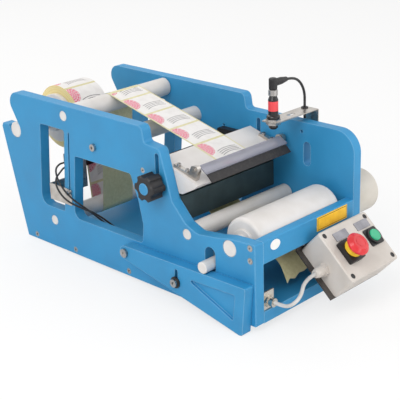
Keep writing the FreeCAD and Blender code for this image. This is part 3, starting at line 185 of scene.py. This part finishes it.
def clearSheet(name, plan):
    # polished polycarbonate: see-through with a smoky tint, and hair scratches drawn 0.8 mm wide to show
    material, tree, where = newMaterial(name)
    lay = addNode(tree, "Mapping", None, {"Vector": where, "Scale": [perMetre / mm for mm in plan["hairMm"]]})
    hair = addNode(tree, "TexNoise", None, {"Vector": lay, "Scale": 1.0, "Detail": 4.0})
    rough = addNode(tree, "MapRange", None, {
        "Value": hair, "To Min": plan["rough"][0], "To Max": plan["rough"][1]})
    surface = addNode(tree, "BsdfPrincipled", None, {
        "Base Color": hexToLinear(plan["colour"]), "Roughness": rough, "IOR": plan["ior"],
        "Transmission Weight": plan["clear"]})
    addNode(tree, "OutputMaterial", None, {"Surface": surface})
    return material


def brushedMetal(name, plan):
    # metal finished with a belt, a tool or a die: fine lines one way, drawn wider than life to show,
    # and a softly streaked gloss
    material, tree, where = newMaterial(name)
    lay = addNode(tree, "Mapping", None, {"Vector": where, "Scale": plan["lay"]})
    lines = addNode(tree, "TexNoise", None, {
        "Vector": lay, "Scale": perMetre / plan["lineMm"], "Detail": 4.0})
    stain = addNode(tree, "TexNoise", None, {
        "Vector": where, "Scale": perMetre / metalSkin["stainMm"], "Detail": 3.0})
    tint = addNode(tree, "ValToRGB", {"stops": [(0.35, plan["dark"]), (0.65, plan["colour"])]}, (stain,))
    rough = addNode(tree, "MapRange", None, {
        "Value": lines, "From Min": noiseLow, "From Max": noiseHigh,
        "To Min": plan["rough"][0], "To Max": plan["rough"][1]})
    bump = addNode(tree, "Bump", None, {
        "Strength": plan["bump"], "Distance": metalSkin["bumpDepth"], "Height": lines})
    surface = addNode(tree, "BsdfPrincipled", None, {
        "Base Color": tint, "Roughness": rough, "Normal": bump, "Metallic": 1.0})
    addNode(tree, "OutputMaterial", None, {"Surface": surface})
    return material


def powderCoat(name, plan):
    # paint baked on steel: an even colour over a fine orange-peel skin
    material, tree, where = newMaterial(name)
    dust = addNode(tree, "TexNoise", None, {
        "Vector": where, "Scale": perMetre / coatSkin["dustMm"], "Detail": 3.0})
    tint = addNode(tree, "ValToRGB", {"stops": [(0.35, plan["dark"]), (0.65, plan["colour"])]}, (dust,))
    peel = addNode(tree, "TexNoise", None, {
        "Vector": where, "Scale": perMetre / plan["peelMm"], "Detail": 2.0})
    bump = addNode(tree, "Bump", None, {
        "Strength": plan["bump"], "Distance": coatSkin["bumpDepth"], "Height": peel})
    surface = addNode(tree, "BsdfPrincipled", None, {
        "Base Color": tint, "Roughness": plan["rough"], "Normal": bump})
    addNode(tree, "OutputMaterial", None, {"Surface": surface})
    return material


def groundRubber(name, plan):
    # rubber ground to size on a roller, or cut to a lip: dull, with paper dust, and with grinding rings
    # of under 0.1 mm in life, drawn about 1 mm wide so that they show
    material, tree, where = newMaterial(name)
    lay = addNode(tree, "Mapping", None, {
        "Vector": where, "Scale": (perMetre / plan["ringMm"], plan["stretch"], plan["stretch"])})
    rings = addNode(tree, "TexNoise", None, {"Vector": lay, "Scale": 1.0, "Detail": 2.0})
    specks = addNode(tree, "TexNoise", None, {
        "Vector": where, "Scale": perMetre / rubberSkin["speckMm"], "Detail": 6.0})
    tint = addNode(tree, "ValToRGB", {"stops": [(0.5, plan["colour"]), (0.8, plan["dust"])]}, (specks,))
    bump = addNode(tree, "Bump", None, {
        "Strength": rubberSkin["bump"], "Distance": rubberSkin["bumpDepth"], "Height": rings})
    surface = addNode(tree, "BsdfPrincipled", None, {
        "Base Color": tint, "Roughness": plan["rough"], "Normal": bump, "IOR": rubberSkin["ior"]})
    addNode(tree, "OutputMaterial", None, {"Surface": surface})
    return material


def pressedPaper(name, plan):
    # paper or board: the cloudy formation of its pulp, over fibres drawn 0.7 mm wide so that they show
    material, tree, where = newMaterial(name)
    cloud = addNode(tree, "TexNoise", None, {
        "Vector": where, "Scale": perMetre / plan["cloudMm"], "Detail": 6.0})
    tint = addNode(tree, "ValToRGB", {"stops": [(0.3, plan["dark"]), (0.68, plan["colour"])]}, (cloud,))
    fibre = addNode(tree, "TexNoise", None, {
        "Vector": where, "Scale": perMetre / paperSkin["fibreMm"], "Detail": 3.0})
    bump = addNode(tree, "Bump", None, {
        "Strength": paperSkin["bump"], "Distance": paperSkin["bumpDepth"], "Height": fibre})
    surface = addNode(tree, "BsdfPrincipled", None, {
        "Base Color": tint, "Roughness": plan["rough"], "Normal": bump,
        "Subsurface Weight": paperSkin["soft"], "Subsurface Radius": paperSkin["scatter"]})
    addNode(tree, "OutputMaterial", None, {"Surface": surface})
    return material


# the labels' print in millimetres from the label's left front corner, across and along
printPlan = {
    "paper": [(0.3, "#DFDBD8"), (0.6, "#E8E5E2")], "cloudMm": 14.0,
    "fibreMm": 0.8, "bump": 0.1, "bumpDepth": 0.0002, "rough": 0.42,
    "fan": {"colour": "#DB6480", "centre": (0.0, 16.0, 0.0), "reach": 21.0, "ring": 4.6, "spokes": 2.6,
            "ringGap": 0.2, "spokeGap": 0.14},
    "arcs": {"colour": "#34323A", "centre": (42.0, 92.0, 0.0), "pitch": 4.5, "share": 0.24,
             "middle": 58.25, "halfBand": 8.75, "across": 42.0, "halfAcross": 22.0},
}


def labelColour(tree, where, spot):
    # coated white face stock, a berry fan at one edge, and thin dark arcs that sweep across like hills
    fan, arcs = printPlan["fan"], printPlan["arcs"]
    paper = addNode(tree, "TexNoise", None, {
        "Vector": where, "Scale": perMetre / printPlan["cloudMm"], "Detail": 4.0})
    colour = addNode(tree, "ValToRGB", {"stops": printPlan["paper"]}, (paper,))
    ray = addNode(tree, "VectorMath", "SUBTRACT", (spot, fan["centre"]))
    reach = addNode(tree, "VectorMath", "LENGTH", (ray,))
    way = addNode(tree, "SeparateXYZ", None, (ray,)).outputs
    turn = addNode(tree, "Math", "ARCTAN2", (way["Y"], way["X"]))
    rings = addNode(tree, "Math", "FRACT", (addNode(tree, "Math", "DIVIDE", (reach, fan["ring"])),))
    spokes = addNode(tree, "Math", "FRACT", (addNode(tree, "Math", "MULTIPLY", (turn, fan["spokes"])),))
    sweep = addNode(tree, "VectorMath", "DISTANCE", (spot, arcs["centre"]))
    lines = addNode(tree, "Math", "FRACT", (addNode(tree, "Math", "DIVIDE", (sweep, arcs["pitch"])),))
    across = addNode(tree, "SeparateXYZ", None, (spot,)).outputs["X"]
    inks = [
        (fan["colour"], [("LESS_THAN", (reach, fan["reach"])), ("GREATER_THAN", (rings, fan["ringGap"])),
                         ("GREATER_THAN", (spokes, fan["spokeGap"]))]),
        (arcs["colour"], [("LESS_THAN", (lines, arcs["share"])),
                          ("COMPARE", (sweep, arcs["middle"], arcs["halfBand"])),
                          ("COMPARE", (across, arcs["across"], arcs["halfAcross"]))]),
    ]
    for ink, tests in inks:
        mask = 1.0
        for test, values in tests:
            mask = addNode(tree, "Math", "MULTIPLY", (mask, addNode(tree, "Math", test, values)))
        colour = addNode(tree, "Mix", {"data_type": "RGBA"}, {0: mask, 6: colour, 7: hexToLinear(ink)})
    return colour


def printedLabel():
    # offset print on coated paper: smooth satin white with crisp ink, fibres drawn 0.8 mm wide to show
    material, tree, where = newMaterial("coated label paper, offset printed")
    spot = addNode(tree, "UVMap", {"uv_map": "labelMm"})
    fibre = addNode(tree, "TexNoise", None, {
        "Vector": where, "Scale": perMetre / printPlan["fibreMm"], "Detail": 3.0})
    bump = addNode(tree, "Bump", None, {
        "Strength": printPlan["bump"], "Distance": printPlan["bumpDepth"], "Height": fibre})
    surface = addNode(tree, "BsdfPrincipled", None, {
        "Base Color": labelColour(tree, where, spot), "Roughness": printPlan["rough"], "Normal": bump})
    addNode(tree, "OutputMaterial", None, {"Surface": surface})
    return material


rollPlan = {
    "radiusMm": 62.0, "pitchMm": 63.0, "labelMm": 58.0,
    "turnMm": 1.1,                # turns are 0.2 mm apart in life, drawn wider so that they show
    "edges": [(0.3, "#DDBE6E"), (0.5, "#F0DD9A"), (0.72, "#F7EBC4")],
    "liner": "#CFC79A", "bump": 0.35, "bumpDepth": 0.0003, "rough": 0.6,
    "endOn": 0.6,                 # a face turned this far along the spindle is a slit edge
}


def woundLabels(plan):
    # a wound roll of printed labels: print outside, and pale yellow slit edges in fine rings
    centre = nodeCentre("roll_core")
    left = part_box("label_roll")[0][0]
    material, tree, where = newMaterial("wound label paper, slit edges")
    offset = addNode(tree, "VectorMath", "SUBTRACT", (where, centre))
    part = addNode(tree, "SeparateXYZ", None, (offset,)).outputs
    radial = addNode(tree, "VectorMath", "MULTIPLY", (offset, (0.0, 1.0, 1.0)))
    reach = addNode(tree, "VectorMath", "LENGTH", (radial,))
    turns = addNode(tree, "TexNoise", {"noise_dimensions": "1D"}, {
        "W": reach, "Scale": perMetre / plan["turnMm"], "Detail": 3.0})
    edges = addNode(tree, "ValToRGB", {"stops": plan["edges"]}, (turns,))
    # the print unrolled in millimetres, across the roll and round it
    inward = addNode(tree, "Math", "SUBTRACT", (part["X"], left - centre[0]))
    across = addNode(tree, "Math", "MULTIPLY", (inward, perMetre))
    turned = addNode(tree, "Math", "ADD", (addNode(tree, "Math", "ARCTAN2", (part["Z"], part["Y"])), math.pi))
    wrapped = addNode(tree, "Math", "MULTIPLY", (turned, plan["radiusMm"]))
    along = addNode(tree, "Math", "MODULO", (wrapped, plan["pitchMm"]))
    spot = addNode(tree, "CombineXYZ", None, (across, along))
    liner = addNode(tree, "Math", "GREATER_THAN", (along, plan["labelMm"]))
    face = addNode(tree, "Mix", {"data_type": "RGBA"}, {
        0: liner, 6: labelColour(tree, where, spot), 7: hexToLinear(plan["liner"])})
    normal = addNode(tree, "SeparateXYZ", None, (addNode(tree, "NewGeometry").outputs["Normal"],))
    lean = addNode(tree, "Math", "ABSOLUTE", (normal.outputs["X"],))
    cut = addNode(tree, "Math", "GREATER_THAN", (lean, plan["endOn"]))
    colour = addNode(tree, "Mix", {"data_type": "RGBA"}, {0: cut, 6: face, 7: edges})
    bump = addNode(tree, "Bump", None, {
        "Strength": plan["bump"], "Distance": plan["bumpDepth"], "Height": turns})
    surface = addNode(tree, "BsdfPrincipled", None, {
        "Base Color": colour, "Roughness": plan["rough"], "Normal": bump})
    addNode(tree, "OutputMaterial", None, {"Surface": surface})
    return material


plaquePlan = {
    "halfWideMm": 40.0, "halfHighMm": 12.0, "lineMm": 0.9, "insetMm": 1.6, "ovalMm": 44.0,
    "film": [(0.3, "#F2BC2C"), (0.6, "#FFCB38")], "line": "#4A3D14", "oval": "#F0EFEC", "dustMm": 9.0,
    "rough": 0.35,
}


def printedPlaque(plan):
    # screen-printed polyester film: flat bright yellow inside a thin dark line; the oval beside it is white
    low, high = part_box("rail_plaque")
    centre = (high[0] - plan["halfWideMm"] / perMetre, low[1], (low[2] + high[2]) / 2.0)
    material, tree, where = newMaterial("polyester film plaque, screen printed")
    offset = addNode(tree, "VectorMath", "SUBTRACT", (where, centre))
    spot = addNode(tree, "VectorMath", "MULTIPLY", (offset, (perMetre, perMetre, perMetre)))
    reach = addNode(tree, "SeparateXYZ", None, (addNode(tree, "VectorMath", "ABSOLUTE", (spot,)),)).outputs
    side = addNode(tree, "Math", "SUBTRACT", (plan["halfWideMm"], reach["X"]))
    end = addNode(tree, "Math", "SUBTRACT", (plan["halfHighMm"], reach["Z"]))
    edge = addNode(tree, "Math", "MINIMUM", (side, end))
    halfLine = plan["lineMm"] / 2.0
    line = addNode(tree, "Math", "COMPARE", (edge, plan["insetMm"] + halfLine, halfLine))
    dust = addNode(tree, "TexNoise", None, {
        "Vector": where, "Scale": perMetre / plan["dustMm"], "Detail": 4.0})
    film = addNode(tree, "ValToRGB", {"stops": plan["film"]}, (dust,))
    lined = addNode(tree, "Mix", {"data_type": "RGBA"}, {0: line, 6: film, 7: hexToLinear(plan["line"])})
    oval = addNode(tree, "Math", "GREATER_THAN", (reach["X"], plan["ovalMm"]))
    colour = addNode(tree, "Mix", {"data_type": "RGBA"}, {0: oval, 6: lined, 7: hexToLinear(plan["oval"])})
    surface = addNode(tree, "BsdfPrincipled", None, {"Base Color": colour, "Roughness": plan["rough"]})
    addNode(tree, "OutputMaterial", None, {"Surface": surface})
    return material


print("finishes ready")

# routes in metres, from each cord's exit to where it goes back into the machine
cordPlan = {
    "control_cable": {
        "diameter": 0.0062, "length": 0.1371, "stiffness": "medium", "slot": "cable_grey",
        "route": [
            (-0.0531, -0.32, 0.0805), (-0.0831, -0.32, 0.0805), (-0.1124, -0.3363, 0.0649),
            (-0.1259, -0.3246, 0.0501), (-0.1269, -0.3056, 0.0482), (-0.1269, -0.2736, 0.0476),
        ],
    },
    "sensor_cable": {
        "diameter": 0.0046, "length": 0.2652, "stiffness": "medium", "slot": "cable_black",
        "route": [
            (0.0496, -0.1566, 0.3473), (0.0746, -0.1566, 0.3473), (0.1016, -0.1538, 0.3372),
            (0.1206, -0.1513, 0.3132), (0.1206, -0.1519, 0.2852), (0.1206, -0.1525, 0.2552),
            (0.1236, -0.153, 0.2292), (0.1296, -0.1555, 0.2052), (0.1356, -0.1647, 0.1831),
            (0.1376, -0.1809, 0.1651), (0.1376, -0.2015, 0.151),
        ],
    },
    "gap_cable_upper": {
        "diameter": 0.0034, "length": 0.3556, "stiffness": "medium", "slot": "cable_black",
        "route": [
            (-0.0964, 0.2326, 0.1534), (-0.1144, 0.2326, 0.1534), (-0.1414, 0.2128, 0.1628),
            (-0.1684, 0.1908, 0.1643), (-0.1784, 0.1684, 0.1467), (-0.1724, 0.148, 0.1231),
            (-0.1524, 0.1315, 0.1014), (-0.1324, 0.115, 0.0778), (-0.1164, 0.0926, 0.0542),
            (-0.1104, 0.0622, 0.0378), (-0.1104, 0.0281, 0.0335), (-0.1104, -0.0079, 0.0342),
        ],
    },
    "gap_cable_lower": {
        "diameter": 0.0034, "length": 0.3498, "stiffness": "medium", "slot": "cable_black",
        "route": [
            (-0.0964, 0.2324, 0.1454), (-0.1144, 0.2324, 0.1454), (-0.1384, 0.2154, 0.1448),
            (-0.1644, 0.1964, 0.1452), (-0.1804, 0.1742, 0.1366), (-0.1804, 0.1499, 0.1191),
            (-0.1624, 0.1316, 0.1044), (-0.1384, 0.1173, 0.0897), (-0.1164, 0.0968, 0.0641),
            (-0.1044, 0.0683, 0.0427), (-0.1024, 0.0341, 0.0334), (-0.1024, -0.0079, 0.0342),
        ],
    },
}


def cordPiece(node, plan, material):
    curve = bpy.data.curves.new(node + "_line", "CURVE")
    curve.dimensions = "3D"
    curve.bevel_depth = plan["diameter"] / 2.0
    curve.bevel_resolution = 6
    curve.use_fill_caps = True
    line = curve.splines.new("NURBS")
    line.points.add(len(plan["route"]) - 1)
    for point, place in zip(line.points, plan["route"]):
        point.co = (place[0], place[1], place[2], 1.0)
    line.order_u = 3
    line.use_endpoint_u = True
    line.resolution_u = 12
    curve.materials.append(material)
    piece = bpy.data.objects.new(node + "_line", curve)
    bpy.context.scene.collection.objects.link(piece)
    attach(piece, "frame")
    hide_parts(node)
    return piece


jackets = {
    # extruded soft PVC: even light grey with a dull, faintly dusty skin
    "cable_grey": mouldedPlastic("plasticised PVC jacket, extruded grey", {
        "colour": "#CDCBC8", "dark": "#B5B2AE", "grainMm": 1.2, "rough": (0.43, 0.55), "bump": 0.12}),
    # the same skin in black, a little slicker
    "cable_black": mouldedPlastic("plasticised PVC jacket, extruded black", {
        "colour": "#1E1D1F", "dark": "#121214", "grainMm": 1.2, "rough": (0.37, 0.49), "bump": 0.12}),
}
for name, plan in cordPlan.items():
    cordPiece(name, plan, jackets[plan["slot"]])
print("cords laid:", len(cordPlan))

# waxy sky-blue sheet with a soft sheen, and pale lines painted along its rounded arrises as highlights
paint(milledHdpe("HDPE sheet, milled, sky blue", {
    "colour": "#2E8EC1", "dark": "#2886B8", "mottleMm": 60.0, "rough": (0.46, 0.6), "marksMm": 10.05,
    "grainMm": 0.9, "bump": 0.22, "waxy": 0.06, "edgeMm": 2.2, "edgeHighlight": 0.55, "edge": "#9CCDEB",
}), "side_plate_near", "side_plate_far", "front_rail", "base_board", "foot_near", "foot_far",
    "knob_cap_near", "knob_cap_far")

# milky natural white, slicker than the sheet, with light lingering in it and a faint highlight painted along
# its arrises
paint(milledHdpe("HDPE rod, turned, natural white", {
    "colour": "#DDD9D6", "dark": "#D2CDC8", "mottleMm": 45.0, "rough": (0.34, 0.48), "marksMm": 7.54,
    "grainMm": 0.8, "bump": 0.2, "waxy": 0.12, "edgeMm": 1.2, "edgeHighlight": 0.3, "edge": "#EFEDEB",
}), "spacer_bar", "guide_roller_top", "guide_roller_low", "rear_roller", "front_roller", "reel_spindle",
    "reel_flanges", "peel_table", "table_block", "paper_bar")

# warm off-white with a matt, finely pitted mould texture
paint(mouldedPlastic("ABS case, moulded, warm off-white", {
    "colour": "#CDC6BF", "dark": "#C3BBB3", "grainMm": 0.7, "rough": (0.41, 0.53), "bump": 0.3,
}), "box_body", "box_lid", "cable_glands")

# the same plastic in beige, a shade duller
paint(mouldedPlastic("ABS cover, moulded, beige", {
    "colour": "#D2CCC2", "dark": "#C7C0B4", "grainMm": 0.8, "rough": (0.45, 0.57), "bump": 0.22,
}), "motor_cover")

# near-black with a coarse mould texture that greys its highlights
paint(mouldedPlastic("glass-filled nylon, moulded, black", {
    "colour": "#19171A", "dark": "#111012", "grainMm": 0.6, "rough": (0.41, 0.53), "bump": 0.35,
}), "clamp_knob_near", "clamp_knob_far", "foot_washers", "lid_fittings", "sensor_elbow", "feed_bearing")

# black from a polished mould: small sharp highlights
paint(mouldedPlastic("PBT, moulded, glossy black", {
    "colour": "#17161A", "dark": "#0F0E11", "grainMm": 1.5, "rough": (0.13, 0.25), "bump": 0.08,
}), "bottle_sensor", "gap_sensor")

# bright red, smooth and glossy as a push button is
paint(mouldedPlastic("polycarbonate, moulded, signal red", {
    "colour": "#DC2C33", "dark": "#CC252C", "grainMm": 2.0, "rough": (0.15, 0.27), "bump": 0.06,
}), "stop_mushroom")

# lighter flat red of a printed film
paint(mouldedPlastic("polyester band, printed red", {
    "colour": "#EE4A50", "dark": "#D93F45", "grainMm": 1.0, "rough": (0.3, 0.42), "bump": 0.1,
}), "sensor_band")

# warm yellow with a satin skin
paint(mouldedPlastic("polyamide, moulded, yellow", {
    "colour": "#F1C52B", "dark": "#DFB11F", "grainMm": 1.0, "rough": (0.3, 0.42), "bump": 0.12,
}), "stop_collar")

# sea green, smooth and glossy
paint(mouldedPlastic("polycarbonate, moulded, green", {
    "colour": "#2FAF80", "dark": "#249A6E", "grainMm": 1.4, "rough": (0.17, 0.29), "bump": 0.08,
}), "start_button")

# warm grey steel whose belt lines run along X and stretch its highlights
paint(brushedMetal("stainless steel sheet, brushed", {
    "colour": "#C9C4BE", "dark": "#B3ADA6", "lay": (0.06, 1.0, 1.0), "lineMm": 0.9,
    "rough": (0.22, 0.4), "bump": 0.3,
}), "sensor_bracket", "gap_bracket", "squeegee_brackets", "squeegee_rod", "pinch_roller")

# bright, lineless heads with a little unevenness from the die
paint(brushedMetal("stainless steel, cold headed", {
    "colour": "#B4B2B0", "dark": "#9C9997", "lay": (1.0, 1.0, 1.0), "lineMm": 1.5,
    "rough": (0.18, 0.36), "bump": 0.15,
}), "machine_screws", "foot_bolts", "sensor_nuts")

# warm silver plating over fine turning marks
paint(brushedMetal("nickel-plated brass, turned", {
    "colour": "#D6D2CA", "dark": "#C3BEB4", "lay": (1.0, 0.1, 1.0), "lineMm": 0.8,
    "rough": (0.14, 0.32), "bump": 0.2,
}), "low_gland")

# mid-grey satin sheet with a soft lengthwise lay
paint(brushedMetal("anodised aluminium sheet, brushed", {
    "colour": "#8F8E93", "dark": "#7F7E83", "lay": (0.05, 1.0, 1.0), "lineMm": 0.8,
    "rough": (0.28, 0.46), "bump": 0.25,
}), "legend_plates")

# dark grey-green with a slight orange peel
paint(powderCoat("powder-coated steel bar, grey-green", {
    "colour": "#34464A", "dark": "#2A3A3E", "peelMm": 1.6, "rough": 0.45, "bump": 0.25,
}), "peel_beam")

# flat dark brown, a little dusty
paint(powderCoat("powder-coated steel sheet, dark brown", {
    "colour": "#4B4541", "dark": "#3D3835", "peelMm": 1.6, "rough": 0.48, "bump": 0.25,
}), "box_mount_plate")

# black enamel with a wetter gloss than powder coat
paint(powderCoat("enamelled steel motor case, black", {
    "colour": "#2A2A2C", "dark": "#1E1E20", "peelMm": 1.4, "rough": 0.35, "bump": 0.2,
}), "drive_motors")

# dull black, greyed by paper dust, with grinding rings
paint(groundRubber("nitrile rubber, ground, black", {
    "colour": "#2B292A", "dust": "#4A4643", "ringMm": 0.9, "stretch": 12.0, "rough": 0.7,
}), "feed_roller")

# a cleaner, slightly smoother black edge
paint(groundRubber("neoprene lip, cut, black", {
    "colour": "#242223", "dust": "#3B3836", "ringMm": 1.2, "stretch": 12.0, "rough": 0.62,
}), "squeegee_blade")

# smoky clear strip that the table shows through
paint(clearSheet("polycarbonate clear sheet, polished", {
    "colour": "#B9BAC8", "clear": 0.62, "hairMm": (90.0, 0.8, 0.8), "rough": (0.06, 0.26), "ior": 1.58,
}), "squeegee_strip")

# dense yellowish paper, faintly glossy from calendering
paint(pressedPaper("glassine liner paper, calendered", {
    "colour": "#DDD6AC", "dark": "#CFC796", "cloudMm": 5.0, "rough": 0.38,
}), "label_web", "backing_paper")

# brown board, quite matt
paint(pressedPaper("cardboard core, spiral wound", {
    "colour": "#B08F63", "dark": "#96774E", "cloudMm": 4.0, "rough": 0.8,
}), "roll_core")

paint(woundLabels(rollPlan), "label_roll")
paint(printedPlaque(plaquePlan), "rail_plaque")
print("CAD nodes finished")


labelPlan = {
    "length": 0.058, "pitch": 0.063, "corner": 0.002, "cornerSteps": 4,
    "least": 0.008,               # a shorter rest of a blank is left off
    "tableGap": 0.001, "guideGap": 0.006,
}


def labelRuns():
    # middle line, width and thickness of every label blank in the CAD node
    mesh = nodes["web_labels"].data
    owner = list(range(len(mesh.vertices)))

    def root(i):
        while owner[i] != i:
            i = owner[i]
        return i

    seen = {}
    for vertex in mesh.vertices:
        key = tuple(round(c, 6) for c in vertex.co)
        owner[root(vertex.index)] = root(seen.setdefault(key, vertex.index))
    for edge in mesh.edges:
        owner[root(edge.vertices[0])] = root(edge.vertices[1])
    blanks = {}
    for vertex in mesh.vertices:
        blanks.setdefault(root(vertex.index), []).append(vertex.co)
    found = []
    for places in blanks.values():
        flat = sorted({(round(p.y, 6), round(p.z, 6)) for p in places}, reverse=True)
        start = Vector((0.0, (flat[0][0] + flat[1][0]) / 2, (flat[0][1] + flat[1][1]) / 2))
        stop = Vector((0.0, (flat[-1][0] + flat[-2][0]) / 2, (flat[-1][1] + flat[-2][1]) / 2))
        thick = math.hypot(flat[0][0] - flat[1][0], flat[0][1] - flat[1][1])
        found.append({"start": start, "stop": stop, "thick": thick,
                      "left": min(p.x for p in places), "right": max(p.x for p in places)})
    return sorted(found, key=lambda run: -run["start"].y)


def labelOutline(width, length):
    # rounded rectangle, across and along
    radius = labelPlan["corner"]
    steps = labelPlan["cornerSteps"]
    outline = []
    for x, y, first in ((width - radius, length - radius, 0), (radius, length - radius, 90),
                        (radius, radius, 180), (width - radius, radius, 270)):
        for i in range(steps + 1):
            turn = math.radians(first + 90.0 * i / steps)
            outline.append((x + radius * math.cos(turn), y + radius * math.sin(turn)))
    return outline


def labelSheets():
    runs = labelRuns()
    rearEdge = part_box("peel_table")[1][1]
    guideAt = nodeCentre("guide_roller_top")[1]
    upper = [r for r in runs if r["start"].y < guideAt and r["start"].y > rearEdge]
    laid = [dict(r, offset=0.0) for r in runs if r not in upper]
    # between the guide and the table the blanks keep their pitch back from the table's edge
    way = (upper[0]["stop"] - upper[0]["start"]).normalized()
    stop = upper[-1]["stop"] - way * labelPlan["tableGap"]
    first = upper[0]["start"] - way * labelPlan["guideGap"]
    while (stop - first).dot(way) > labelPlan["least"]:
        length = min(labelPlan["length"], (stop - first).dot(way))
        start = stop - way * length
        laid.append(dict(upper[0], start=start, stop=stop, offset=labelPlan["length"] - length))
        stop = stop - way * labelPlan["pitch"]
    verts, faces, grid = [], [], []
    for label in laid:
        way = (label["stop"] - label["start"]).normalized()
        out = Vector((0.0, -way.z, way.y)) * (label["thick"] / 2)
        outline = labelOutline(label["right"] - label["left"], (label["stop"] - label["start"]).length)
        base = len(verts)
        count = len(outline)
        for side in (1, -1):
            for across, along in outline:
                place = label["start"] + way * along + out * side
                verts.append((label["left"] + across, place.y, place.z))
                grid.append((across * perMetre, (along + label["offset"]) * perMetre))
        faces.append([base + i for i in range(count)])
        faces.append([base + count + i for i in reversed(range(count))])
        for i in range(count):
            j = (i + 1) % count
            faces.append([base + j, base + i, base + count + i, base + count + j])
    mesh = bpy.data.meshes.new("printed_labels")
    mesh.from_pydata(verts, [], faces)
    mesh.update()
    layer = mesh.uv_layers.new(name="labelMm")
    for loop in mesh.loops:
        layer.data[loop.index].uv = grid[loop.vertex_index]
    mesh.materials.append(printedLabel())
    piece = bpy.data.objects.new("printed_labels", mesh)
    bpy.context.scene.collection.objects.link(piece)
    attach(piece, "frame")
    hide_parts("web_labels")
    return len(laid)


print("labels laid:", labelSheets())

stagePlan = {"halfSize": 12.0, "floor": "#F6F5F4", "rough": 0.9, "gloss": 0.1, "selfLit": 0.72}


def layFloor():
    half = stagePlan["halfSize"]
    mesh = bpy.data.meshes.new("floor")
    corners = [(-half, -half, 0), (half, -half, 0), (half, half, 0), (-half, half, 0)]
    mesh.from_pydata(corners, [], [(0, 1, 2, 3)])
    floor = bpy.data.objects.new("floor", mesh)
    bpy.context.scene.collection.objects.link(floor)
    # matt white paper: seen by the camera it lifts itself towards white and still takes the shadow
    material, tree = newMaterial("matt backdrop paper")[:2]
    paper = addNode(tree, "BsdfPrincipled", None, {
        "Base Color": hexToLinear(stagePlan["floor"]), "Roughness": stagePlan["rough"],
        "Specular IOR Level": stagePlan["gloss"]})
    rays = addNode(tree, "LightPath").outputs
    lift = addNode(tree, "Math", "MULTIPLY", (rays["Is Camera Ray"], stagePlan["selfLit"]))
    glow = addNode(tree, "Emission", None, {"Color": (1.0, 1.0, 1.0, 1.0), "Strength": 1.0})
    both = addNode(tree, "MixShader", None, (lift, paper, glow))
    addNode(tree, "OutputMaterial", None, {"Surface": both})
    mesh.materials.append(material)


layFloor()

lampAim = Vector((0.0, 0.0, 0.12))
lightPlan = {
    "key": {"place": (-2.1, -0.6, 2.0), "size": 1.7, "power": 36.0},
    "fill": {"place": (1.6, -1.6, 1.5), "size": 1.8, "power": 9.0},
    "back": {"place": (0.4, 2.0, 2.2), "size": 1.6, "power": 16.0},
    "low": {"place": (0.1, -2.2, 0.5), "size": 0.9, "power": 9.0},    # reaches under the front rail
}
for name, plan in lightPlan.items():
    lampData = bpy.data.lights.new(name, "AREA")
    lampData.size = plan["size"]
    lampData.energy = plan["power"]
    lamp = bpy.data.objects.new(name, lampData)
    lamp.location = plan["place"]
    lamp.rotation_euler = (lampAim - Vector(plan["place"])).to_track_quat("-Z", "Y").to_euler()
    bpy.context.scene.collection.objects.link(lamp)

# the sky is white to the camera, in gloss and through clear sheet, and dimmer as a light
worldPlan = {"ambient": 0.64, "seen": 1.0}
world = bpy.data.worlds.new("studio")
bpy.context.scene.world = world
world.use_nodes = True
tree = world.node_tree
tree.nodes.clear()
rays = addNode(tree, "LightPath").outputs
seen = addNode(tree, "Math", "MAXIMUM", (rays["Is Camera Ray"], rays["Is Glossy Ray"]))
seen = addNode(tree, "Math", "MAXIMUM", (seen, rays["Is Transmission Ray"]))
level = addNode(tree, "MapRange", None, {
    "Value": seen, "To Min": worldPlan["ambient"], "To Max": worldPlan["seen"]})
sky = addNode(tree, "Background", None, {"Color": (1.0, 1.0, 1.0, 1.0), "Strength": level})
addNode(tree, "OutputWorld", None, {"Surface": sky})
print("floor and lights set")
